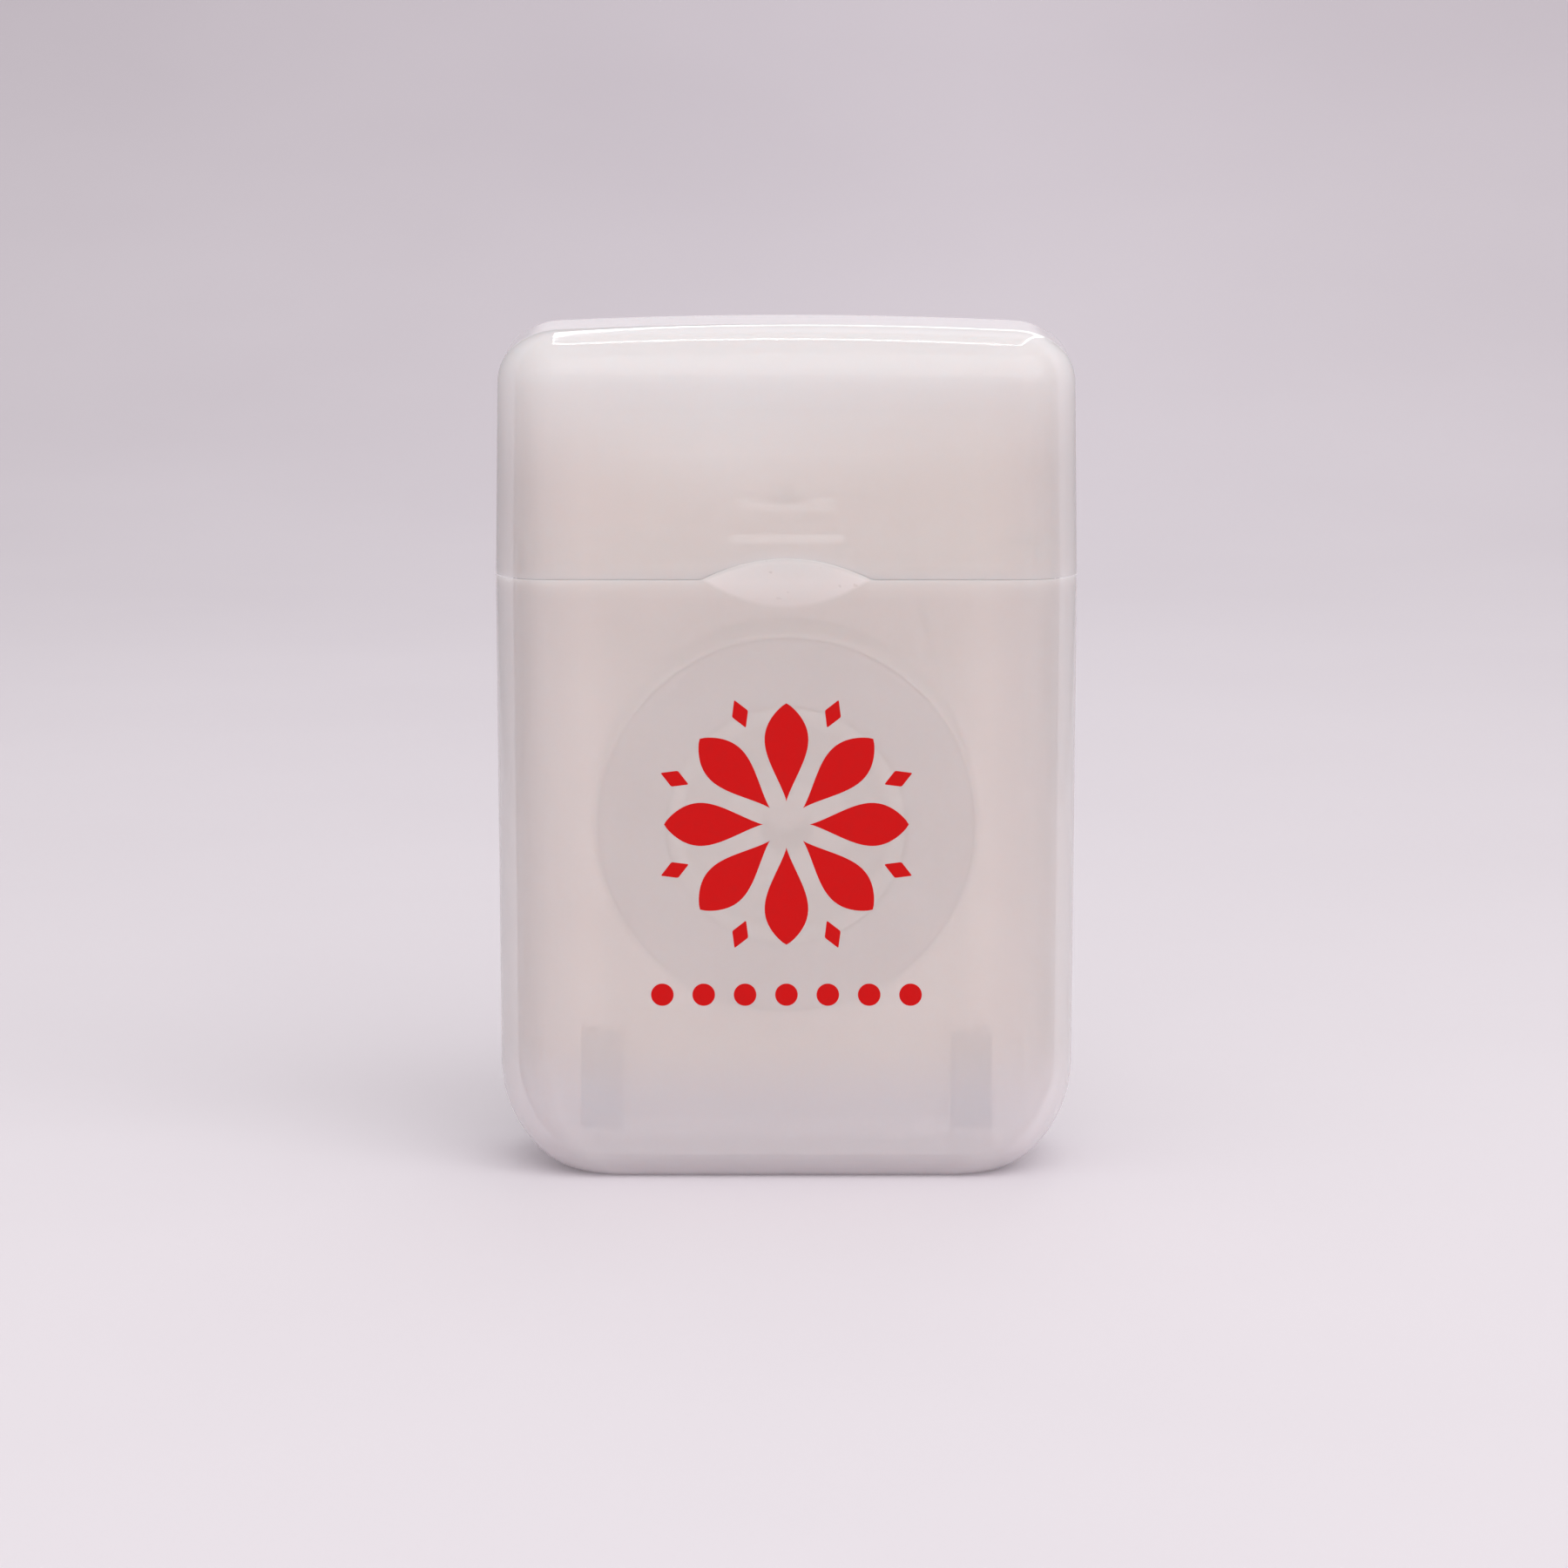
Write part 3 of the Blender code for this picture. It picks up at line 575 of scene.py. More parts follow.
@dataclass(frozen=True)
class MilkyPlastic:
    """Thin natural polypropylene: cloudy, light passes and scatters, satin below and glossy above.

    The lens is the thumb scoop, frosted and paler: painted light from above, fading downwards.
    The rims are the two edges that meet at the seam. The haze makes the lid's lower front, in
    front of the cutter, denser and darker: painted shade of the parts behind it. Painted shade
    also darkens the sides and the foot, and painted light brightens the crown. A range in metres
    runs from where a change begins to where it is whole.
    """

    name: str = "milky_plastic"
    tint: Colour = (0.797, 0.712, 0.686)
    cloud: Colour = (0.782, 0.697, 0.671)
    clouds: Noise = (140, 3)
    cloudy: Range = (0.35, 0.65)
    # painted shade: the plastic darkens towards the sides over this range of |x|
    side_painted_shade: Colour = (0.640, 0.605, 0.605)
    side: Range = (0.0138, 0.0200)
    # painted shade: darker and bluer towards the base, below these heights
    foot_painted_shade: Colour = (0.740, 0.690, 0.708)
    foot: Range = (0.0095, 0.0055)
    # painted shade: a darker tint where the lid's lower front hides the parts behind it
    haze_painted_shade: Colour = (0.750, 0.682, 0.658)
    haze_middle: float = 0.002
    haze_side: Range = (0.0110, 0.0150)
    haze_top: Range = (0.0505, 0.0535)
    haze_foot: Range = (0.0003, 0.0010)
    # painted light: the lid grows paler towards its top
    crown_painted_light: Colour = (0.893, 0.840, 0.836)
    crown_rise: Range = (0.0450, 0.0560)
    crown_middle: float = -0.004
    crown_fall: float = 0.15
    # painted light: the scoop's lens is paler, most at its upper edge
    lens_painted_light: Colour = (0.870, 0.765, 0.748)
    lens_front: Range = (-0.0066, -0.0067)
    lens_edge: Range = (0.0, 0.0003)
    lens_fade: Range = (-0.0024, -0.0002)
    lens_faint: float = 0.15
    pit_tint: Colour = (0.45, 0.36, 0.34)
    pits: Noise = (2300, 1)
    pitted: Range = (0.72, 0.76)
    pit_share: float = 0.25
    gloss: Noise = (420, 3)
    rough: Range = (0.05, 0.08)
    satin: Range = (0.0075, 0.0030)
    satin_rough: float = 0.12
    lens_rough: float = 0.18
    peel: Noise = (900, 2)
    grain: Noise = (5200, 2)
    grain_share: float = 2.0
    relief: Relief = (0.06, 0.00004)
    reach: Colour = (1.0, 0.85, 0.80)
    scatter: float = 0.0024
    cover: float = 0.72
    rim_cover: float = 0.10
    lens_cover: float = 0.10
    haze_cover: float = 0.11

    def masks(self, tree: Tree, point: Socket) -> tuple[Socket, Socket]:
        """Masks of the lens of the thumb scoop, and of the two rims that meet at the seam.

        With w = 1 - (x / half width)^2, the lens lies on the front from scoop_drop * w below the
        seam to scoop_rise * w above it. Its edge is soft, and it fades towards its lower end, and
        with it the painted light of the lens. The rims lie within a soft edge of the seam, or of
        the tab's upper edge over the scoop.

        Args:
            tree: the material's nodes.
            point: the point on the piece.

        Returns:
            The lens's mask and the rims' mask.
        """
        parts = tree.parts(point)
        x = tree.maths("DIVIDE", parts["X"], OUTSIDE.scoop_half_width)
        w = tree.maths("SUBTRACT", 1.0, tree.times(x, x))
        z = tree.maths("SUBTRACT", parts["Z"], OUTSIDE.seam)
        front = tree.spread(parts["Y"], self.lens_front)
        above = tree.plus(z, tree.times(w, OUTSIDE.scoop_drop))
        below = tree.maths("SUBTRACT", tree.times(w, OUTSIDE.scoop_rise), z)
        inside = tree.spread(tree.maths("MINIMUM", above, below), self.lens_edge)
        fade = tree.spread(z, self.lens_fade, (self.lens_faint, 1))
        tab = tree.times(tree.maths("MAXIMUM", w, 0.0), OUTSIDE.scoop_rise, front)
        rims = tree.spread(tree.away(z, tab), (OUTSIDE.soft_edge, OUTSIDE.soft_edge * 1.5), (1, 0))
        return tree.times(inside, front, fade), rims

    def haze(self, tree: Tree, point: Socket) -> Socket:
        """How far the lid's lower front is made denser and darker, as painted shade.

        Args:
            tree: the material's nodes.
            point: the point on the piece.

        Returns:
            The haze's mask.
        """
        parts = tree.parts(point)
        middle = tree.spread(tree.away(parts["X"], self.haze_middle), self.haze_side, (1, 0))
        low = tree.spread(parts["Z"], self.haze_top, (1, 0))
        start, whole = self.haze_foot
        lid = tree.spread(parts["Z"], (OUTSIDE.seam + start, OUTSIDE.seam + whole))
        return tree.times(middle, low, lid)

    def crown(self, tree: Tree, point: Socket) -> Socket:
        """How far painted light brightens the lid towards its top: by height, less to the sides.

        Args:
            tree: the material's nodes.
            point: the point on the piece.

        Returns:
            The crown's mask.
        """
        parts = tree.parts(point)
        fall = tree.times(tree.away(parts["X"], self.crown_middle), self.crown_fall)
        level = tree.maths("SUBTRACT", parts["Z"], fall)
        return tree.spread(level, self.crown_rise, interpolation_type="SMOOTHSTEP")

    def colour(self, tree: Tree, point: Socket, lens: Socket, haze: Socket) -> Socket:
        """Cloud the tint, paint shade at sides, foot and haze, and paint light on crown and lens.

        Args:
            tree: the material's nodes.
            point: the point on the piece.
            lens: the lens's mask.
            haze: the haze's mask.

        Returns:
            The base colour.
        """
        parts = tree.parts(point)
        clouds = tree.spread(tree.noise(point, *self.clouds), self.cloudy)
        body = tree.blend(clouds, self.tint, self.cloud)
        # painted shade towards the sides
        body = tree.blend(tree.spread(tree.away(parts["X"]), self.side), body, self.side_painted_shade)
        # painted shade towards the base
        body = tree.blend(tree.spread(parts["Z"], self.foot), body, self.foot_painted_shade)
        # painted shade of the parts behind the lid's lower front
        body = tree.blend(haze, body, self.haze_painted_shade)
        # painted light towards the lid's top
        body = tree.blend(self.crown(tree, point), body, self.crown_painted_light)
        pits = tree.spread(tree.noise(point, *self.pits), self.pitted, (0, self.pit_share))
        # painted light on the lens, with its real dark pits
        return tree.blend(lens, body, tree.blend(pits, self.lens_painted_light, self.pit_tint))

    def make(self) -> Look:
        """Colour and thin the wall, vary its gloss, frost the lens, and add orange peel.

        Returns:
            The material.
        """
        tree = Tree(self.name)
        point = tree.place()
        lens, rims = self.masks(tree, point)
        haze = self.haze(tree, point)
        tree.drive("Base Color", self.colour(tree, point, lens, haze))

        satin = tree.spread(tree.parts(point)["Z"], self.satin, (0.0, self.satin_rough))
        frosted = tree.maths("MAXIMUM", satin, tree.times(lens, self.lens_rough))
        tree.drive("Roughness", tree.plus(tree.vary(point, self.gloss, self.rough), frosted))
        grain = tree.times(tree.noise(point, *self.grain), tree.plus(satin, lens), self.grain_share)
        tree.bump(tree.plus(tree.noise(point, *self.peel), grain), *self.relief)

        frost, dense = tree.times(lens, self.lens_cover), tree.times(haze, self.haze_cover)
        cover = tree.plus(self.cover, tree.maths("MAXIMUM", frost, dense))
        tree.thin(tree.spread(rims, (0, 1), (cover, self.rim_cover)))
        tree.plain(IOR=PLASTIC_IOR, Subsurface_Weight=1.0)
        tree.plain(Subsurface_Radius=self.reach, Subsurface_Scale=self.scatter)
        return tree.material


@dataclass(frozen=True)
class Mottled:
    """A finish in two tints, with an uneven gloss and a fine grain, each after a noise of its own.

    Attributes:
        name: the material's name.
        tint: its colour.
        shade: the colour of the clouds in it.
        clouds: the clouds' noise.
        cloudy: the part of that noise over which the tint turns to the shade.
        gloss: the noise of the roughness.
        rough: the least and the most roughness.
        grain: the noise of the bump.
        relief: the bump.
    """

    name: str
    tint: Colour
    shade: Colour
    clouds: Noise
    cloudy: Range
    gloss: Noise
    rough: Range
    grain: Noise
    relief: Relief

    def start(self) -> Tree:
        """The material with its mottled colour, its gloss and its grain.

        Returns:
            The material's nodes, for the rest of its sockets.
        """
        tree = Tree(self.name)
        point = tree.place()
        share = tree.spread(tree.noise(point, *self.clouds), self.cloudy)
        tree.drive("Base Color", tree.blend(share, self.tint, self.shade))
        tree.drive("Roughness", tree.vary(point, self.gloss, self.rough))
        tree.bump(tree.noise(point, *self.grain), *self.relief)
        return tree


@dataclass(frozen=True)
class ShadedThickPlastic(Mottled):
    """The same plastic in the guide posts, in painted shade: darker and bluish."""

    name: str = "shaded_thick_milky_plastic"
    # painted shade: the posts' dark bluish tint
    tint: Colour = (0.440, 0.470, 0.560)
    shade: Colour = (0.415, 0.440, 0.530)
    clouds: Noise = (240, 3)
    cloudy: Range = (0.35, 0.65)
    gloss: Noise = (420, 3)
    rough: Range = (0.14, 0.22)
    grain: Noise = (1500, 2)
    relief: Relief = (0.10, 0.00003)

    def make(self) -> Look:
        """The mottled finish, refracting as the plastic does.

        Returns:
            The material.
        """
        tree = self.start()
        tree.plain(IOR=PLASTIC_IOR)
        return tree.material


@dataclass(frozen=True)
class WhitePlastic(Mottled):
    """Natural plastic of the inner mouldings, a little see-through, with a fine eroded grain."""

    name: str = "white_plastic"
    tint: Colour = (0.940, 0.890, 0.885)
    shade: Colour = (0.925, 0.875, 0.872)
    clouds: Noise = (260, 3)
    cloudy: Range = (0.35, 0.65)
    gloss: Noise = (700, 2)
    rough: Range = (0.34, 0.48)
    grain: Noise = (3800, 3)
    relief: Relief = (0.18, 0.00003)
    reach: Colour = (1.0, 0.80, 0.75)
    scatter: float = 0.0018
    cover: float = 0.70

    def make(self) -> Look:
        """The mottled finish, thinned, with light that scatters in it.

        Returns:
            The material.
        """
        tree = self.start()
        tree.thin(self.cover)
        tree.plain(IOR=PLASTIC_IOR, Subsurface_Weight=1.0)
        tree.plain(Subsurface_Radius=self.reach, Subsurface_Scale=self.scatter)
        return tree.material


@dataclass(frozen=True)
class RedInk(Mottled):
    """Pad-printed ink: an even, slightly glossy film with the faintest mottle."""

    name: str = "red_ink"
    tint: Colour = (0.610, 0.0015, 0.0018)
    shade: Colour = (0.580, 0.0030, 0.0030)
    clouds: Noise = (1500, 4)
    cloudy: Range = (0.45, 0.75)
    gloss: Noise = (800, 2)
    rough: Range = (0.36, 0.46)
    grain: Noise = (2600, 3)
    relief: Relief = (0.10, 0.00002)

    def make(self) -> Look:
        """The mottled finish, with a film's weak reflections.

        Returns:
            The material.
        """
        tree = self.start()
        tree.plain(IOR=1.42, Specular_IOR_Level=0.2)
        return tree.material


@dataclass(frozen=True)
class StainlessSteel:
    """Cold-rolled strip, brushed along the cutter's width."""

    name: str = "stainless_steel"
    bright: Colour = (0.95, 0.94, 0.94)
    dull: Colour = (0.86, 0.86, 0.87)
    brushed: Noise = (9000, 3)
    drawn_out: Colour = (0.04, 1, 1)
    rough: Range = (0.48, 0.60)
    smudges: Noise = (500, 2)
    smudged: Range = (0.4, 0.7)
    smudge_rough: float = 0.08
    relief: Relief = (0.25, 0.00001)

    def make(self) -> Look:
        """Draw the noise out along X, for the colour, the roughness and the brushed skin alike.

        Returns:
            The material.
        """
        tree = Tree(self.name)
        brushed = tree.noise(tree.place(self.drawn_out), *self.brushed)
        lines = tree.spread(brushed, NOISE_MIDDLE)
        tree.drive("Base Color", tree.blend(lines, self.bright, self.dull))
        smudge = tree.noise(tree.place(), *self.smudges)
        dulled = tree.spread(smudge, self.smudged, (0, self.smudge_rough))
        rough = tree.spread(brushed, NOISE_MIDDLE, self.rough)
        tree.drive("Roughness", tree.plus(rough, dulled))
        tree.bump(brushed, *self.relief)
        tree.plain(Metallic=1.0, Anisotropic=0.4)
        return tree.material


@dataclass(frozen=True)
class WaxedFloss:
    """White floss of many fine filaments, lightly twisted and waxed."""

    name: str = "waxed_floss"
    tint: Colour = (0.90, 0.88, 0.88)
    # painted shade: the colour in the grooves between the plies
    groove: Colour = (0.76, 0.73, 0.735)
    plies: float = 3.0
    twist: float = 900.0
    fibres: Noise = (6000, 2)
    fibre_share: float = 0.5
    rough: Range = (0.42, 0.60)
    relief: Relief = (0.5, 0.00004)

    def make(self) -> Look:
        """Lay slanting filaments round the strand: around times plies plus along times twist.

        Returns:
            The material.
        """
        tree = Tree(self.name)
        parts = tree.parts(tree.place(output="UV"))
        around = tree.times(parts["X"], self.plies * 2 * math.pi)
        along = tree.times(parts["Y"], self.twist * 2)
        strand = tree.spread(tree.maths("SINE", tree.plus(around, along)), (-1.0, 1.0))
        # painted shade darkens the strand between the plies
        tree.drive("Base Color", tree.blend(strand, self.groove, self.tint))
        fibre = tree.noise(tree.place(), *self.fibres)
        tree.drive("Roughness", tree.spread(fibre, NOISE_MIDDLE, self.rough))
        tree.bump(tree.plus(strand, tree.times(fibre, self.fibre_share)), *self.relief)
        tree.plain(Subsurface_Weight=0.4, Subsurface_Scale=0.0003)
        tree.plain(Sheen_Weight=0.15, Sheen_Roughness=0.4)
        return tree.material


@dataclass(frozen=True)
class ShadedWoundFloss:
    """The side and back of a tight winding, layer on layer, in painted shade: grey and bluish."""

    name: str = "shaded_wound_floss"
    # painted shade: far darker and bluer than the floss itself
    tint: Colour = (0.60, 0.57, 0.62)
    groove: Colour = (0.51, 0.48, 0.525)
    drawn_out: Colour = (9, 1, 1)
    fibres: Noise = (4.0, 4)
    layers: Noise = (2600, 3)
    layered: Range = (0.7, 1.3)
    rough: Range = (0.45, 0.62)
    relief: Relief = (0.4, 0.00004)

    def make(self) -> Look:
        """Fine filaments that run round the spool, by the angle about its axis in the UV map.

        Returns:
            The material.
        """
        tree = Tree(self.name)
        fibre = tree.noise(tree.place(self.drawn_out, "UV"), *self.fibres)
        layers = tree.noise(tree.place(), *self.layers)
        share = tree.spread(tree.plus(fibre, layers), self.layered)
        tree.drive("Base Color", tree.blend(share, self.groove, self.tint))
        tree.drive("Roughness", tree.spread(layers, NOISE_MIDDLE, self.rough))
        tree.bump(share, *self.relief)
        tree.plain(Subsurface_Weight=0.3, Subsurface_Scale=0.0004)
        return tree.material


@dataclass(frozen=True)
class PaperSweep:
    """Matt lilac-white paper, with painted shade up its rise and painted light at its top."""

    name: str = "paper_sweep"
    near: Colour = (0.830, 0.785, 0.830)
    # painted shade: the paper darkens up the rise
    far: Colour = (0.535, 0.485, 0.535)
    # painted shade: darker still to both sides of the rise
    far_side_painted_shade: Colour = (0.405, 0.362, 0.400)
    # painted light: paler high on the rise, which the lid's top reflects
    top: Colour = (0.900, 0.860, 0.900)
    back: Range = (0.0, 0.75)
    middle: float = 0.03
    aside: Range = (0.0, 0.2)
    rise: Range = (0.075, 0.095)
    mottle: Noise = (9, 4)
    mottled: Range = (-0.05, 0.05)

    def make(self) -> Look:
        """Paint shade along and across the sweep, painted light at its top, and mottle it a little.

        Returns:
            The material.
        """
        tree = Tree(self.name)
        point = tree.place()
        parts = tree.parts(point)
        aside = tree.spread(tree.away(parts["X"], self.middle), self.aside)
        back = tree.blend(aside, self.far, self.far_side_painted_shade)
        mottle = tree.vary(point, self.mottle, self.mottled)
        shade = tree.blend(tree.plus(tree.spread(parts["Y"], self.back), mottle), self.near, back)
        # painted light at the top of the rise
        tree.drive("Base Color", tree.blend(tree.spread(parts["Z"], self.rise), shade, self.top))
        tree.plain(Roughness=0.9, Specular_IOR_Level=0.1)
        return tree.material


@dataclass(frozen=True)
class Outside:
    """The sizes that case, lid and insert share."""

    half_width: float = 0.0200
    half_depth: float = 0.0080
    height: float = 0.0590
    seam: float = 0.0419
    seam_gap: float = 0.00002
    corner: float = 0.0040
    case_draft: float = 0.0002
    lid_draft: float = 0.00025
    wall: float = 0.0012
    floor: float = 0.0015
    fit: float = 0.0003
    soft_edge: float = 0.00002
    hinge_y: float = 0.00775
    hinge_groove: float = 0.00063
    scoop_half_width: float = 0.00585
    scoop_rise: float = 0.00145
    scoop_drop: float = 0.0020
    groove_steps: int = 9
    groove_start: float = 2e-6

    @property
    def groove_reach(self) -> float:
        """How far above and below the hinge's axis the round groove meets the outer face."""
        return math.sqrt(self.hinge_groove**2 - (self.half_depth - self.hinge_y) ** 2)

    def front(self, height: Points | float) -> Points | float:
        """How far forward the case's drafted front face stands at a height."""
        return -(self.half_depth - self.case_draft * (1 - height / self.seam))

    def in_groove(self, height: Points) -> Points:
        """The furthest back that a wall may reach beside the round groove about the hinge axis.

        Formula: hinge_y - sqrt(groove^2 - h^2), with h the distance from the axis' height, as far
        as the circle meets the outer face, and no limit beyond it.

        Args:
            height: heights.

        Returns:
            The largest y at each height.
        """
        h = np.abs(height - self.seam)
        side = np.sqrt(np.maximum(self.hinge_groove**2 - h**2, 0))
        return np.where(h <= self.groove_reach + CLOSE, self.hinge_y - side, np.inf)

    def groove_levels(self) -> Points:
        """Distances from the axis' height at which the groove is worked out, widest first.

        Returns:
            The distances.
        """
        reach = self.groove_reach
        steps = np.linspace(reach, self.seam_gap / 2, self.groove_steps)
        return np.concatenate([[reach + self.groove_start], steps])


OUTSIDE = Outside()


def dress(
    shape: Shape,
    name: str,
    look: Look,
    body: Body,
    slot: Slot | None,
    *stands_for: str,
    smooth: float = SMOOTH,
) -> bpy.types.Object:
    """Make a piece, give it its material and tie it to its body.

    Args:
        shape: its mesh.
        name: its name.
        look: its material.
        body: the CAD body that it rides on.
        slot: the record's slot named for the piece; not used.
        stands_for: CAD nodes that it replaces.
        smooth: the largest bend in degrees that is shaded smooth.

    Returns:
        The piece.
    """
    piece = shape.build(name, smooth)
    piece.data.materials.append(look)
    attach(piece, body.value)
    if stands_for:
        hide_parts(*stands_for)
    log.info("%s: %d faces, rides on %s", piece.name, len(piece.data.polygons), body.value)
    return piece


@dataclass
class CaseShell:
    """The lower shell: a cup with a recessed base, a thumb scoop, and a tab in the lid's arch."""

    side_radius: float = 0.0090
    side_sweep: float = math.radians(61)
    base_fillet: float = 0.0022
    recess_depth: float = 0.0003
    recess_margin: float = 0.0028
    band: float = 0.0030
    level_steps: tuple[int, int, int, int] = (10, 26, 9, 12)
    wall_end: float = 0.002
    scoop_start: float = 0.001
    scoop_end: float = 0.0006
    recess_step: tuple[float, ...] = (0.0002, 0.00012, 0.00003, 0.0)
    recess_rise: tuple[float, ...] = (1.0, 0.9, 0.1, 0.0)
    scoop_depth: float = 0.00045
    scoop_ease: float = 0.15
    post_height: float = 0.0065
    post_lip: float = 0.0012
    post_wall: float = 0.0013
    post_corner: float = 0.0002
    post_sink: float = 0.0003
    post_scale: tuple[float, ...] = (1.0, 1.0, 0.985, 0.95)
    post_round: tuple[float, ...] = (0.00015, 0.00004, 0.0)
    outside: Outside = OUTSIDE

    @property
    def top(self) -> float:
        """The height of the case's rim."""
        return self.outside.seam - self.outside.seam_gap / 2

    @property
    def arc_centre(self) -> float:
        """The height at which the sides begin to round in."""
        return self.side_radius * math.sin(self.side_sweep)

    def inset(self, radius: float, centre: float, height: Points, offset: Points) -> Points:
        """How far a wall stands in beside an arc: radius - sqrt((radius - offset)^2 - below^2)."""
        below = np.maximum(centre - height, 0)
        return radius - np.sqrt((radius - offset) ** 2 - below**2)

    def rings(self, height: Points, offset: Points, lay: Perimeter) -> Points:
        """The case's sections at heights, moved in from the outer face by offsets.

        Args:
            height: the sections' heights.
            offset: how far each one is moved in.
            lay: where the columns stand.

        Returns:
            rows x columns x 3 points.
        """
        o = self.outside
        draft = o.case_draft * (1 - height / o.seam)
        side = self.inset(self.side_radius, self.arc_centre, height, offset)
        front = self.inset(self.base_fillet, self.base_fillet, height, offset)
        wide, deep = o.half_width - draft - side, o.half_depth - draft - front
        return lay.rings(wide, deep, o.corner - offset, height)

    def levels(self, offset: float, lowest: float) -> Points:
        """Heights up the wall, crowded where it rounds in and beside the scoop.

        Args:
            offset: how far the wall is moved in from the outer face.
            lowest: the height at which it begins.

        Returns:
            The heights, upwards.
        """
        o = self.outside
        fillet_steps, arc_steps, wall_steps, scoop_steps = self.level_steps
        rounding = quarter_turn(fillet_steps)
        fillet = self.base_fillet - (self.base_fillet - offset) * np.cos(rounding)
        turn = np.linspace(0, self.side_sweep, arc_steps)
        arc = self.arc_centre - (self.side_radius - offset) * np.sin(turn)
        below = self.top - self.band
        wall = np.linspace(self.arc_centre, below - self.wall_end, wall_steps)
        scoop = np.linspace(below - self.scoop_start, self.top - self.scoop_end, scoop_steps)
        every = np.concatenate([[lowest], fillet, arc, wall, scoop, o.seam - o.groove_levels()])
        return np.unique(every[(every >= lowest) & (every < self.top - o.soft_edge - LEVEL_STEP)])

    def shape(self, points: Points, outer: Points) -> Points:
        """Raise the tab, press the scoop in, and cut the hinge groove.

        With w = 1 - (x / half width)^2, the tab lifts the rim by scoop_rise * w, and less and less
        down the band. The scoop is a lens that reaches scoop_drop * w below the seam, and its depth
        there is depth * w * (1 + e) t^2 / (t + e), with t from 0 at its lower edge to 1 at the rim.
        The groove holds y to Outside.in_groove.

        Args:
            points: rows x columns x 3 points of the plain cup.
            outer: for each row, 1 where it is on the outer face.

        Returns:
            The points, moved.
        """
        o = self.outside
        x, y, z = points[..., 0], points[..., 1], points[..., 2]
        front = y < 0
        half = o.scoop_half_width - o.seam_gap / 2
        w = np.maximum(1 - (x / half) ** 2, 0)
        share = np.clip((z - self.top + self.band) / self.band, 0, 1)
        raised = z + np.where(front, o.scoop_rise * w * share, 0)
        low = self.top - o.scoop_drop * w
        t = np.clip((raised - low) / np.maximum((o.scoop_rise + o.scoop_drop) * w, CLOSE), 0, 1)
        dent = self.scoop_depth * w * (1 + self.scoop_ease) * t**2 / (t + self.scoop_ease)
        pressed = y + np.where(front, dent * outer[:, None], 0)
        cut = np.minimum(pressed, np.where(outer[:, None] > 0, o.in_groove(z), np.inf))
        return np.stack([x, cut, raised], axis=2)

    def cup(self) -> Points:
        """The whole shell: base, outer wall, rim, inner wall and floor, as one stack of loops.

        Returns:
            rows x columns x 3 points.
        """
        o, e = self.outside, self.outside.soft_edge
        lay = Perimeter(bend=o.scoop_half_width - o.seam_gap / 2)
        a = quarter_turn(EDGE_STEPS)
        outer = self.levels(0, 0)
        inner = self.levels(o.wall, o.floor)[::-1]
        low = self.top - e
        height = np.concatenate([outer, low + e * np.sin(a), low + e * np.sin(a[::-1]), inner])
        drawn = e * (1 - np.cos(a))
        offset = np.concatenate([0 * outer, drawn, o.wall - drawn[::-1], o.wall + 0 * inner])
        side = np.where(offset <= e, 1.0, 0.0)
        walls = self.shape(self.rings(height, offset, lay), side)

        base_half = o.half_width - self.side_radius * (1 - math.cos(self.side_sweep))
        wide = base_half - self.recess_margin
        deep = o.half_depth - self.base_fillet - self.recess_margin / 2
        step, rise = np.array(self.recess_step), np.array(self.recess_rise) * self.recess_depth
        recess = lay.rings(wide - step, deep - step, o.corner / 2, rise)
        floor = shrunk(walls[-1], CAP_SHARES[::-1])
        return np.concatenate([shrunk(recess[0], CAP_SHARES), recess, walls, floor])

    def posts(self, plate: BackPlate) -> Shape:
        """Two L-shaped posts in the floor that hold the back plate's lower corners.

        Args:
            plate: the plate that they hold.

        Returns:
            The mesh of both.
        """
        o = self.outside
        made = Shape()
        inner, slot = plate.half_width - self.post_wall, plate.half_width + o.fit
        front = plate.front - o.fit
        outer, back = slot + self.post_wall, o.half_depth - o.case_draft - o.wall + self.post_sink
        low, high = o.floor - self.post_sink, o.floor + self.post_height
        corners = [(inner, front - self.post_lip), (outer, front - self.post_lip), (outer, back)]
        corners += [(slot, back), (slot, front), (inner, front)]
        outline = rounded_outline(np.array(corners), self.post_corner, 3)
        heart = np.array([(slot + outer) / 2, front - self.post_lip / 2])
        flat = heart + (outline - heart)[None] * np.array(self.post_scale)[:, None, None]
        rings = at_heights(flat, np.array([low, *(high - drop for drop in self.post_round)]))
        poles = (np.array([*heart, low]), np.array([*heart, high]))
        for side in (1, -1):
            made.add(rings * (side, 1, 1), poles=tuple(p * (side, 1, 1) for p in poles))
        return made

    def build(self, look: Look, thick: Look, plate: BackPlate) -> None:
        """Make the shell and its guide posts."""
        dress(Shape().add(self.cup()), "case_shell", look, Body.CASE, Slot.MILKY, "case_body")
        # the guide posts take the plastic in painted shade
        dress(self.posts(plate), "guide_posts", thick, Body.CASE, Slot.MILKY)


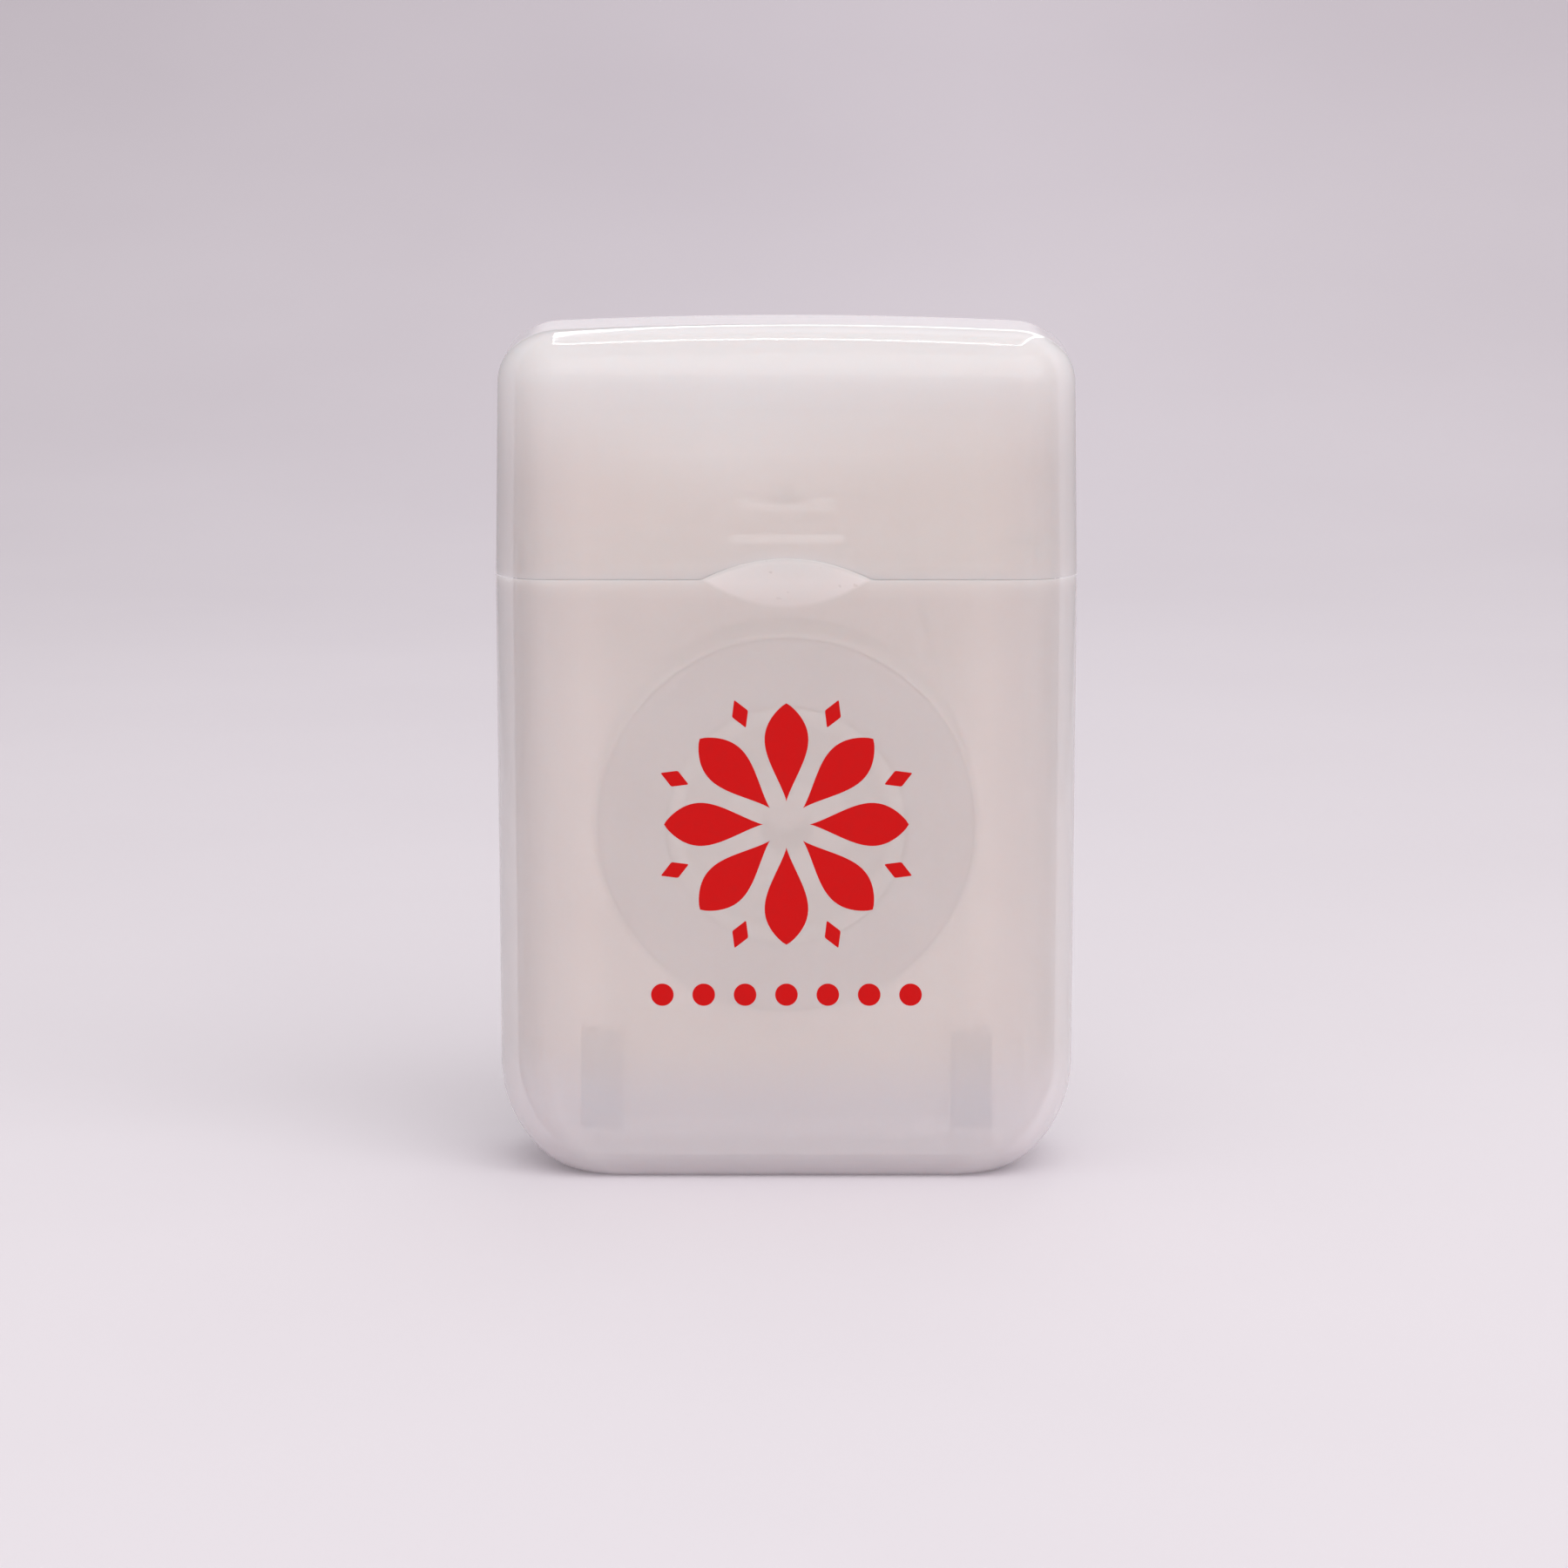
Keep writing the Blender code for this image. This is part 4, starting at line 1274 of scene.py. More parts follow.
@dataclass
class FlipLid:
    """The lid: a crowned cap with an arched front edge and a latch bead inside."""

    fillet: float = 0.0040
    crown: float = 0.330
    band: float = 0.0036
    latch_radius: float = 0.00035
    latch_width: float = 0.0080
    latch_proud: float = 0.00025
    rim_rise: float = 0.0020
    least_corner: float = 0.0003
    round_steps: int = 26
    wall_steps: int = 15
    wall_start: float = 0.0008
    outside: Outside = OUTSIDE

    @property
    def bottom(self) -> float:
        """The height of the lid's lower edge."""
        return self.outside.seam + self.outside.seam_gap / 2

    def half_size(self, height: Points) -> tuple[Points, Points]:
        """Half width and half depth at a height, smaller upwards by the draft.

        Args:
            height: heights.

        Returns:
            Half widths and half depths.
        """
        o = self.outside
        draft = o.lid_draft * (height - o.seam) / (o.height - o.seam)
        return o.half_width - draft, o.half_depth - draft

    def wall(self, height: Points, offset: Points, lay: Perimeter) -> Points:
        """Sections below the top fillet, moved in from the outer face."""
        wide, deep = self.half_size(height)
        return lay.rings(wide - offset, deep - offset, self.outside.corner - offset, height)

    def round_top(self, angle: Points, offset: float, lay: Perimeter) -> Points:
        """Sections round the top fillet, lowered by sin(angle)^2 * x^2 / (2 * crown).

        Args:
            angle: angles round the fillet, from 0 at its foot.
            offset: how far the sections are moved in.
            lay: where the columns stand.

        Returns:
            rows x columns x 3 points.
        """
        radius = self.fillet - offset
        inset = offset + radius * (1 - np.cos(angle))
        height = self.outside.height - self.fillet + radius * np.sin(angle)
        wide, deep = self.half_size(height)
        corner = np.maximum(self.outside.corner - inset, self.least_corner)
        rings = lay.rings(wide - inset, deep - inset, corner, height)
        rings[..., 2] -= np.sin(angle)[:, None] ** 2 * rings[..., 0] ** 2 / (2 * self.crown)
        return rings

    def cap(self, ring: Points, level: float) -> Points:
        """Loops from the top's edge in to its middle, on the crown: level - x^2 / (2 * crown).

        Args:
            ring: the loop at the top's edge.
            level: the height of its middle.

        Returns:
            rows x columns x 3 points.
        """
        rings = shrunk(ring, CAP_SHARES[::-1])
        rings[..., 2] = level - rings[..., 0] ** 2 / (2 * self.crown)
        return rings

    def shape(self, points: Points, outer: Points) -> Points:
        """Arch the front edge and cut the hinge groove.

        The edge rises by scoop_rise * (1 - (x / half width)^2), and less and less up the band.

        Args:
            points: rows x columns x 3 points of the plain lid.
            outer: for each row, 1 where it is on the outer face.

        Returns:
            The points, moved.
        """
        o = self.outside
        x, y, z = points[..., 0], points[..., 1], points[..., 2]
        half = o.scoop_half_width + o.seam_gap / 2
        lift = o.scoop_rise * np.maximum(1 - (x / half) ** 2, 0)
        share = np.clip((self.bottom + self.band - z) / self.band, 0, 1)
        raised = z + np.where(y < 0, lift * share, 0)
        cut = np.minimum(y, np.where(outer[:, None] > 0, o.in_groove(z), np.inf))
        return np.stack([x, cut, raised], axis=2)

    def hood(self) -> Points:
        """The whole shell, from its ceiling's middle down, round the edge and up to the crown.

        Returns:
            rows x columns x 3 points.
        """
        o, e = self.outside, self.outside.soft_edge
        lay = Perimeter(bend=o.scoop_half_width + o.seam_gap / 2)
        a, turn = quarter_turn(EDGE_STEPS), quarter_turn(self.round_steps)
        first, last = self.bottom + self.wall_start, o.height - self.fillet
        rise = np.linspace(first, last, self.wall_steps + 1)[:-1]
        high = self.bottom + e
        groove = o.seam + o.groove_levels()
        outer = np.unique(np.concatenate([rise, groove[groove > high + LEVEL_STEP]]))
        inner = rise[::-1]
        height = np.concatenate([inner, high - e * np.sin(a), high - e * np.sin(a[::-1]), outer])
        drawn = e * (1 - np.cos(a))
        offset = np.concatenate([o.wall + 0 * inner, o.wall - drawn, drawn[::-1], 0 * outer])
        walls = self.shape(self.wall(height, offset, lay), np.where(offset <= e, 1.0, 0.0))
        inside = self.round_top(turn[::-1], o.wall, lay)
        above = self.round_top(turn, 0, lay)
        ceiling = self.cap(inside[0], o.height - o.wall)[::-1]
        return np.concatenate([ceiling, inside, walls, above, self.cap(above[-1], o.height)])

    def latch(self) -> Points:
        """A bead along the inside of the front wall: a bar whose ends are half balls.

        Returns:
            rows x columns x 3 points.
        """
        o, r = self.outside, self.latch_radius
        height = o.seam + self.rim_rise + o.fit + r
        y = o.wall - self.half_size(height)[1] + self.latch_proud - r
        a = np.linspace(math.radians(6), math.pi / 2, 6)
        half = self.latch_width / 2
        radius = np.concatenate([r * np.sin(a), r * np.sin(a[::-1])])
        along = np.concatenate([r * (1 - np.cos(a)) - half, half - r * (1 - np.cos(a[::-1]))])
        return turned(np.column_stack([radius, along]), (0, y, height), "X", 24)

    def build(self, look: Look) -> None:
        """Make the lid and its latch bead."""
        dress(Shape().add(self.hood()), "lid_shell", look, Body.LID, Slot.MILKY, "lid")
        dress(Shape().add(self.latch()), "latch_bead", look, Body.LID, Slot.MILKY)


@dataclass
class LivingHinge:
    """The thin web that joins case and lid at the back, and folds when the lid opens."""

    half_width: float = 0.0120
    thickness: float = 0.00026
    root: float = 0.00068
    waist: float = 0.00020
    spread: float = math.radians(148)
    outside: Outside = OUTSIDE

    def web(self) -> Points:
        """A strip round the hinge axis, as wide as the hinge.

        Its middle line, in polar form about the axis: radius = waist + (root - waist) *
        (angle / spread)^2, from -spread at the case to +spread at the lid, with 0 straight back.

        Returns:
            rows x columns x 3 points.
        """
        o = self.outside
        angle = np.linspace(-self.spread, self.spread, 25)
        radius = self.waist + (self.root - self.waist) * (angle / self.spread) ** 2
        line = np.column_stack([radius * np.cos(angle), radius * np.sin(angle)])
        along = unit(np.gradient(line, axis=0))
        normal = np.column_stack([-along[:, 1], along[:, 0]])
        half = self.thickness / 2
        loop = np.vstack([line + half * normal, (line - half * normal)[::-1]]) + (o.hinge_y, o.seam)
        x = np.linspace(-self.half_width, self.half_width, 13)
        rings = np.broadcast_to(loop[None], (len(x), *loop.shape))
        return at_heights(rings, x)[..., [2, 0, 1]]

    def build(self, look: Look) -> None:
        """Make the web.

        Args:
            look: the web's material.
        """
        o = self.outside
        rings = self.web()
        heart = np.array([0.0, o.hinge_y + self.waist, o.seam])
        ends = (-self.half_width, self.half_width)
        poles = tuple(np.array([x, heart[1], heart[2]]) for x in ends)
        piece = Shape().add(rings, poles=poles).build("hinge_web")
        piece.data.materials.append(look)
        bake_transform(piece)
        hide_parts("living_hinge")
        log.info("%s: %d faces, bends from case to lid", piece.name, len(piece.data.polygons))


@dataclass
class BackPlate:
    """The plate that hangs from the deck behind the spool, with its axle and a moulding mark."""

    half_width: float = 0.01296
    front: float = 0.0051
    back: float = 0.0063
    low: float = 0.0018
    high: float = 0.0409
    corner: float = 0.0008
    edge: float = 0.0002
    spool_height: float = 0.0244
    axle_radius: float = 0.0030
    bore_radius: float = 0.0018
    lip_radius: float = 0.0035
    lip_slope: float = 0.00045
    lip_width: float = 0.0006
    axle_sink: float = 0.0004
    axle_front: float = -0.0063
    prong_length: float = 0.0040
    slit: float = 0.0008
    mark_radius: float = 0.0026
    mark_height: float = 0.0051
    mark_proud: float = 0.0002
    mark_foot: float = 0.0001
    mark_edge: float = 0.00005
    mark_shares: tuple[float, ...] = (0.7, 0.3)
    axle_rounding: float = 0.0001
    prong_rounding: float = 0.00012

    def plate(self) -> Points:
        """The plate, with the mark as a low round step in its front face.

        Its loops run from the middle of the back out to the edge, round it, in across the front
        to the mark's foot, up its side and in to its middle. The mark's loops take the angle that
        each column of the edge has as seen from its middle.

        Returns:
            rows x columns x 3 points.
        """
        low = (-self.half_width, self.front, self.low)
        high = (self.half_width, self.back, self.high)
        body = slab(low, high, self.corner, self.edge, "Y")[::-1]
        centre = np.array([0.0, self.mark_height])
        away = body[-1][:, [0, 2]] - centre
        angle = np.arctan2(away[:, 1], away[:, 0])
        r, face = self.mark_radius, self.front - self.mark_proud
        foot, edge = self.mark_foot, self.mark_edge
        side = [(r + foot, self.front), (r, self.front - foot), (r, face + edge), (r - edge, face)]
        top = [(r * share, face) for share in self.mark_shares]
        radius, level = np.array(side + top).T
        x, z = radius[:, None] * np.cos(angle), centre[1] + radius[:, None] * np.sin(angle)
        mark = np.stack([x, np.broadcast_to(level[:, None], x.shape), z], axis=2)
        return np.concatenate([body, ruled(body[-1], mark[0], np.array([0.2, 0.5, 0.8])), mark])

    def axle(self) -> Shape:
        """A hollow post whose front end is slit into two prongs with a snap lip.

        Each prong is its closed profile turned through a little less than half a turn.

        Returns:
            The axle's mesh.
        """
        split = self.axle_front + self.prong_length
        bore, radius, snap = self.bore_radius, self.axle_radius, self.lip_radius
        root = self.front + self.axle_sink
        whole = np.array([(radius, root), (radius, split), (bore, split), (bore, root)])
        centre = (0, 0, self.spool_height)
        sleeve = rounded_outline(whole, self.axle_rounding, 2)
        made = Shape().add(turned(sleeve, centre, "Y", 64), Ends.JOINED)
        front = self.axle_front
        slope, lip = front + self.lip_slope, front + self.lip_width
        profile = [(bore, front), (radius, front), (snap, slope), (snap, lip)]
        profile += [(radius, lip), (radius, split), (bore, split)]
        loop = rounded_outline(np.array(profile), self.prong_rounding, 3)
        margin = math.asin(self.slit / 2 / radius)
        turn = np.linspace(margin, math.pi - margin, 30)[:, None]
        middle, level = (bore + radius) / 2, (lip + split) / 2
        for start in (-math.pi / 2, math.pi / 2):
            a = turn + start
            sides = (loop[:, 0] * np.cos(a), loop[:, 1] + 0 * a, loop[:, 0] * np.sin(a))
            first, last = (
                np.array([middle * math.cos(b), level, middle * math.sin(b)]) + centre
                for b in (a[0, 0], a[-1, 0])
            )
            made.add(np.stack(sides, axis=2) + centre, poles=(first, last))
        return made

    def build(self, look: Look, axle_look: Look) -> None:
        """Make the plate and the axle.

        Args:
            look: the plate's material.
            axle_look: the axle's material.
        """
        plate = Shape().add(self.plate())
        dress(plate, "back_plate", look, Body.CASE, Slot.WHITE, "spool_carrier")
        dress(self.axle(), "spool_axle", axle_look, Body.CASE, Slot.WHITE, "spool_carrier")


@dataclass
class Deck:
    """The tray in the mouth of the case, with the eyelet's nozzle, and the cutter's block."""

    top: float = 0.0415
    thickness: float = 0.0012
    rim_top: float = 0.0439
    rim_thickness: float = 0.0010
    eyelet_x: float = 0.0090
    hole_radius: float = 0.00075
    nozzle_wall: float = 0.0006
    nozzle_flare: float = 0.0009
    nozzle_rise: float = 0.0024
    nozzle_foot: tuple[Range, ...] = ((1.0, 0.0), (0.40, 0.00022), (0.10, 0.0007), (0.0, 0.0013))
    nozzle_lip: tuple[Range, ...] = ((0.0, 0.0003), (0.0001, 0.0001), (0.0003, 0.0))
    hole_mouth: tuple[Range, ...] = ((0.00012, 0.00008), (0.0, 0.0003))
    hole_foot: tuple[Range, ...] = ((0.0, 0.0005), (0.0001, 0.0001), (0.0003, 0.0))
    lead: float = 0.0004
    rounding: float = 0.00025
    block_play: float = 0.0002
    block_sink: float = 0.0003
    block_corner: float = 0.0004
    block_edge: float = 0.0002
    outside: Outside = OUTSIDE

    def tray(self) -> Points:
        """One shell with a hole through it.

        Its loops run from the hole's mouth out along the underside, up the rim, in across the
        deck, up the nozzle and down the hole. Loops round the nozzle take the angle that each
        column of the rim has as seen from the eyelet, so the loops between them are straight lines
        from the one to the other.

        Returns:
            rows x columns x 3 points.
        """
        o = self.outside
        lay = Perimeter(bend=0.0130, edge_steps=6, bend_steps=36, flank_steps=8)
        outer, inner = o.fit + o.wall, o.fit + o.wall + self.rim_thickness
        under = self.top - self.thickness
        high = self.rim_top
        corners = np.array([(outer, under), (outer, high), (inner, high), (inner, self.top)])
        lead_in, lead_out = corners[:1] + (self.lead, 0), corners[-1:] + (self.lead, 0)
        path = rounded_outline(np.vstack([lead_in, corners, lead_out]), self.rounding, 4)[5:-5]
        inset, level = path.T
        rim = lay.rings(o.half_width - inset, o.half_depth - inset, o.corner - inset, level)

        centre = np.array([self.eyelet_x, 0.0])
        away = rim[0, :, :2] - centre
        angle = np.arctan2(away[:, 1], away[:, 0])
        r, wall, flare = self.hole_radius, self.hole_radius + self.nozzle_wall, self.nozzle_flare
        top, lip = self.top, self.top + self.nozzle_rise
        foot = [(wall + share * flare, top + rise) for share, rise in self.nozzle_foot]
        side = [(wall - inward, lip - drop) for inward, drop in self.nozzle_lip]
        mouth = [(r + outward, lip - drop) for outward, drop in self.hole_mouth]
        hole = [(r + outward, under + rise) for outward, rise in self.hole_foot]
        radius, height = np.array(foot + side + mouth + hole).T
        x, y = centre[0] + radius[:, None] * np.cos(angle), radius[:, None] * np.sin(angle)
        pipe = at_heights(np.stack([x, y], axis=2), height)
        shares = np.array([0.15, 0.35, 0.6, 0.85])
        below = ruled(pipe[-1], rim[0], shares)
        above = ruled(rim[-1], pipe[0], shares)
        return np.concatenate([below, rim, above, pipe])

    def block(self, cutter: Cutter) -> Points:
        """The block that the cutter is pressed over.

        Args:
            cutter: the cutter that goes over it.

        Returns:
            rows x columns x 3 points.
        """
        o = self.outside
        wide, deep = cutter.width / 2 - o.fit, cutter.depth / 2 - cutter.sheet - self.block_play
        low, high = self.top - self.block_sink, cutter.top - cutter.sheet - self.block_play / 2
        return slab((-wide, -deep, low), (wide, deep, high), self.block_corner, self.block_edge)

    def build(self, look: Look, cutter: Cutter) -> None:
        """Make the tray and the block.

        Args:
            look: the material of both.
            cutter: the cutter that goes over the block.
        """
        tray, block = Shape().add(self.tray(), Ends.JOINED), Shape().add(self.block(cutter))
        dress(tray, "deck_tray", look, Body.CASE, Slot.WHITE, "spool_carrier")
        dress(block, "cutter_block", look, Body.CASE, Slot.WHITE, "spool_carrier")


@dataclass
class Cutter:
    """The steel clip over the block, with a pointed tongue cut from its top and bent up."""

    width: float = 0.00665
    depth: float = 0.0048
    top: float = 0.0464
    skirt: float = 0.0022
    sheet: float = 0.0003
    bend: float = 0.0006
    root_inset: float = 0.0008
    tongue_length: float = 0.0034
    tongue_width: float = 0.0032
    slit: float = 0.0002
    lift: float = math.radians(30)
    sunk: float = 0.10
    cut_off: float = 0.985
    least_width: float = 0.015
    ground: float = 0.45
    edge_share: float = 0.2
    least_body: float = 0.35
    half_columns: int = 13

    def fold(self, flat: Points, depth: Points) -> Points:
        """Lay the flat blank over the block.

        A place s along the blank, from its middle, stays flat up to the bend, turns through a
        quarter about the bend's centre, and then runs straight down. Depth is measured in from
        the outer skin, along its normal.

        Args:
            flat: rows x columns x 2 places, across and along the blank.
            depth: rows, the depth below the outer skin.

        Returns:
            rows x columns x 3 points.
        """
        x, s = flat[..., 0], flat[..., 1]
        level = self.depth / 2 - self.bend
        arc = self.bend * math.pi / 2
        far = np.abs(s)
        turn = np.clip((far - level) / self.bend, 0, math.pi / 2)
        drop = np.maximum(far - level - arc, 0)
        radius = self.bend - depth[:, None]
        y = np.minimum(far, level) + radius * np.sin(turn)
        z = self.top - self.bend + radius * np.cos(turn) - drop
        return np.stack([x, np.sign(s) * y, z], axis=2)

    def polygon_reach(self, corners: Points, angle: Points) -> Points:
        """How far a convex outline lies from the origin in each direction.

        Formula: one over the largest of (edge normal . direction) / (edge distance).

        Args:
            corners: n x 2 points, anticlockwise round the origin.
            angle: the directions in radians.

        Returns:
            The distance in each direction.
        """
        edge = np.roll(corners, -1, axis=0) - corners
        normal = np.column_stack([edge[:, 1], -edge[:, 0]])
        distance = np.einsum("ij,ij->i", normal, corners)
        direction = np.stack([np.cos(angle), np.sin(angle)])
        return 1 / ((normal @ direction) / distance[:, None]).max(axis=0)

    def clip(self) -> Points:
        """The folded blank: loops from its window out over the top, and back below.

        Returns:
            rows x columns x 3 points.
        """
        root = self.depth / 2 - self.root_inset
        tip = root - self.tongue_length - self.slit
        half = self.tongue_width / 2 + self.slit
        heart = np.array([0, (2 * root + tip) / 3])
        window = np.array([(half, root), (0, tip), (-half, root)])[::-1] - heart
        reach = self.depth / 2 - self.bend + self.bend * math.pi / 2 + self.skirt - self.bend
        wide = self.width / 2
        blank = np.array([(-wide, -reach), (wide, -reach), (wide, reach), (-wide, reach)]) - heart
        corner = np.concatenate([np.arctan2(*window.T[::-1]), np.arctan2(*blank.T[::-1])])
        even = np.linspace(-math.pi, math.pi, 140, endpoint=False)
        angle = np.unique(np.concatenate([corner, even]))
        direction = np.stack([np.cos(angle), np.sin(angle)], axis=1)
        near = self.polygon_reach(window, angle)[:, None] * direction + heart
        far = self.polygon_reach(blank, angle)[:, None] * direction + heart
        share = np.linspace(0, 1, 34)
        top = ruled(near, far, share)
        both = np.concatenate([top, top[::-1]])
        depth = np.concatenate([0 * share, 0 * share + self.sheet])
        return self.fold(both, depth)

    def tongue(self) -> Points:
        """The blade: a lens-shaped section that narrows to a point, bent up at its root.

        Half width falls as (1 - t) over the length, and thickness is the sheet's at the middle of
        the blade and edge_share of it at the ground edges. The slope grows to the lift within a
        sixth of the length, and the last third grows thinner.

        Returns:
            rows x columns x 3 points.
        """
        t = np.concatenate([[-self.sunk], np.linspace(0, self.cut_off, 26)])
        s = t * self.tongue_length
        slope = self.lift * ease(t * 6)
        step = np.diff(s, prepend=s[0])
        along = np.cumsum(step * np.cos(slope))
        rise = np.cumsum(step * np.sin(slope))
        start = self.depth / 2 - self.root_inset + self.sunk * self.tongue_length
        half = self.tongue_width / 2 * np.clip(1 - t, self.least_width, 1)
        back = np.linspace(1, -1, self.half_columns)[1:-1]
        u = np.concatenate([np.linspace(-1, 1, self.half_columns), back])
        upper = np.concatenate([np.ones(self.half_columns), -np.ones(self.half_columns - 2)])
        whole = np.clip((1 - np.abs(u)) / self.ground, 0, 1)
        thick = self.sheet / 2 * (self.edge_share + (1 - self.edge_share) * whole) * upper
        body = np.clip((1 - t) * 3, self.least_body, 1)
        x = half[:, None] * u
        y = np.broadcast_to((start - along)[:, None], x.shape)
        z = (self.top - self.sheet / 2 + rise)[:, None] + thick[None] * body[:, None]
        return np.stack([x, y, z], axis=2)

    def build(self, look: Look) -> None:
        """Make the clip and the tongue as one piece."""
        made = Shape().add(self.clip(), Ends.JOINED).add(self.tongue())
        dress(made, "floss_clip", look, Body.CASE, Slot.STEEL, "floss_cutter", smooth=28)


@dataclass
class Spool:
    """The hub with its winding: the inner layers as one ring, and the outer layer as one strand."""

    height: float = 0.0244
    front: float = -0.0054
    back: float = 0.0047
    bore: float = 0.0033
    bore_wall: float = 0.0010
    radius: float = 0.0082
    rim: float = 0.0010
    web: float = 0.0012
    side_inset: float = 0.0002
    pack_edge: float = 0.0004
    pack_radius: float = 0.01297
    shoulder_radius: float = 0.01155
    shoulder_width: float = 0.0010
    turn_radius: float = 0.0132
    strand: float = 0.0004
    turns: int = 20
    bend: float = 0.00095
    eyelet_x: float = 0.0090
    deck_underside: float = 0.0403
    fit: float = 0.0003
    ridge: float = 0.00005
    ridge_pitch: float = 0.00036
    ridge_from: float = 0.0002
    ridge_within: float = 0.0004
    hub_rounding: float = 0.00025
    turn_steps: int = 40

    @property
    def centre(self) -> tuple[float, float, float]:
        """The middle of the spool's axis."""
        return (0.0, 0.0, self.height)

    def hub(self) -> Points:
        """The core: a bore and a rim joined by a web with a row of rounded steps.

        Returns:
            rows x columns x 3 points.
        """
        middle = (self.front + self.back) / 2
        wall, rim = self.bore + self.bore_wall, self.radius - self.rim
        near, far = middle - self.web / 2, middle + self.web / 2
        bore, radius, front, back = self.bore, self.radius, self.front, self.back
        corners = [(bore, front), (wall, front), (wall, near), (rim, near), (rim, front)]
        corners += [(radius, front), (radius, back), (rim, back), (rim, far), (wall, far)]
        corners += [(wall, back), (bore, back)]
        outline = rounded_outline(np.array(corners), self.hub_rounding, 4)
        return turned(outline, self.centre, "Y", 128)

    def pack(self) -> Points:
        """The inner layers: a turned ring whose skin has the ridges of turn beside turn.

        The profile is followed at even steps, and each point is moved along the outline's normal
        by ridge * |sin(pi * distance / pitch)|, but for the bore.

        Returns:
            rows x columns x 3 points.
        """
        bore = self.radius + self.fit / 2
        first, last = self.front + self.side_inset, self.back - self.side_inset
        shoulder, edge = last - self.shoulder_width, self.pack_edge
        corners = [(bore, first), (self.pack_radius, first), (self.pack_radius, shoulder)]
        corners += [(self.shoulder_radius, shoulder), (self.shoulder_radius, last), (bore, last)]
        outline = rounded_outline(np.array(corners), edge, 4)
        closed = np.vstack([outline, outline[:1]])
        where = lengths(closed)
        places = np.linspace(0, where[-1], 300, endpoint=False)
        line = np.column_stack([np.interp(places, where, closed[:, k]) for k in range(2)])
        tangent = unit(np.roll(line, -1, axis=0) - np.roll(line, 1, axis=0))
        normal = np.column_stack([tangent[:, 1], -tangent[:, 0]])
        skin = ease((line[:, 0] - bore - self.ridge_from) / self.ridge_within)
        bump = self.ridge * (np.abs(np.sin(math.pi * places / self.ridge_pitch)) - 1) * skin
        return turned(line + normal * bump[:, None], self.centre, "Y", 112)

    def winding(self) -> Points:
        """The outer layer's path: out of the shoulder, round in even turns, and off to the eyelet.

        The strand leaves at the angle where its tangent points to the eyelet: atan2(rise, x) -
        acos(radius / distance).

        Returns:
            n x 3 points.
        """
        rise = self.deck_underside - self.height
        away = math.hypot(self.eyelet_x, rise)
        leave = math.atan2(rise, self.eyelet_x) - math.acos(self.turn_radius / away)
        first = self.back - self.side_inset - self.shoulder_width / 2
        last = self.front + self.side_inset + self.pack_edge
        share = np.linspace(0, 1, self.turns * self.turn_steps + 1)
        angle = leave + 2 * math.pi * self.turns * (share - 1)
        y = first + (last - first) * share
        radius = self.turn_radius
        coil = np.column_stack([radius * np.cos(angle), y, radius * np.sin(angle)])
        out = np.array([math.cos(leave), 0, math.sin(leave)])
        onward = np.array([-math.sin(leave), 0, math.cos(leave)])
        turn = np.linspace(0, math.pi / 2, 8, endpoint=False)[:, None]
        middle = (self.turn_radius - self.bend) * out + (0, first, 0)
        hook = middle + self.bend * (np.sin(turn) * out - np.cos(turn) * onward)
        start, stop = hook[:1] - self.strand * out, coil[-1:] + self.strand * onward
        return np.vstack([start, hook, coil, stop]) + self.centre

    def build(self, hub_look: Look, pack_look: Look, look: Look) -> None:
        """Make the hub, the pack and the outer layer.

        Args:
            hub_look: the hub's material.
            pack_look: the inner layers' material.
            look: the outer layer's material.
        """
        hub, pack = (Shape().add(rings, Ends.JOINED) for rings in (self.hub(), self.pack()))
        dress(hub, "spool_core", hub_look, Body.SPOOL, Slot.WHITE, "spool_hub")
        dress(pack, "wound_pack", pack_look, Body.SPOOL, Slot.FLOSS, "floss_pack", smooth=60)
        path = self.winding()
        outer = Shape().add(tube(path, self.strand / 2, 10, (0, 1, 0)), along=lengths(path))
        dress(outer, "outer_winding", look, Body.SPOOL, Slot.FLOSS, "floss_outer_turns", smooth=60)


@dataclass
class Lead:
    """The floss from the spool up through the eyelet, across the cutter and under its tongue."""

    diameter: float = 0.0004
    route: tuple[Place, ...] = (
        (0.01140, -0.0030, 0.0323),
        (0.01060, -0.0020, 0.0350),
        (0.00975, -0.0008, 0.0379),
        (0.00912, -0.0001, 0.0400),
        (0.00900, 0.0000, 0.0418),
        (0.00900, 0.0000, 0.0436),
        (0.00865, 0.0000, 0.0450),
        (0.00730, -0.0001, 0.0462),
        (0.00530, -0.0003, 0.0469),
        (0.00330, -0.0003, 0.0470),
        (0.00000, -0.0003, 0.0470),
        (-0.00330, -0.0003, 0.0470),
        (-0.00480, -0.0005, 0.0466),
        (-0.00580, -0.0008, 0.0458),
    )
    start: Place = (0.01290, -0.0047, 0.0290)
    splay: float = 0.25
    splay_length: float = 0.0006

    def build(self, look: Look) -> None:
        """Make the strand, from just clear of the winding to its free end, which splays.

        Args:
            look: the floss's material.
        """
        path = smooth_route(np.array([self.start, *self.route]), 8)
        where = lengths(path)
        free = np.clip((where - where[-1]) / self.splay_length + 1, 0, 1)
        radius = self.diameter / 2 * (1 + self.splay * free)
        strand = Shape().add(tube(path, radius, 12, (0, 1, 0)), along=where)
        dress(strand, "floss_strand", look, Body.CASE, Slot.FLOSS, "floss_lead", smooth=60)
        log.info("floss lead: %.1f mm", where[-1] * 1000)


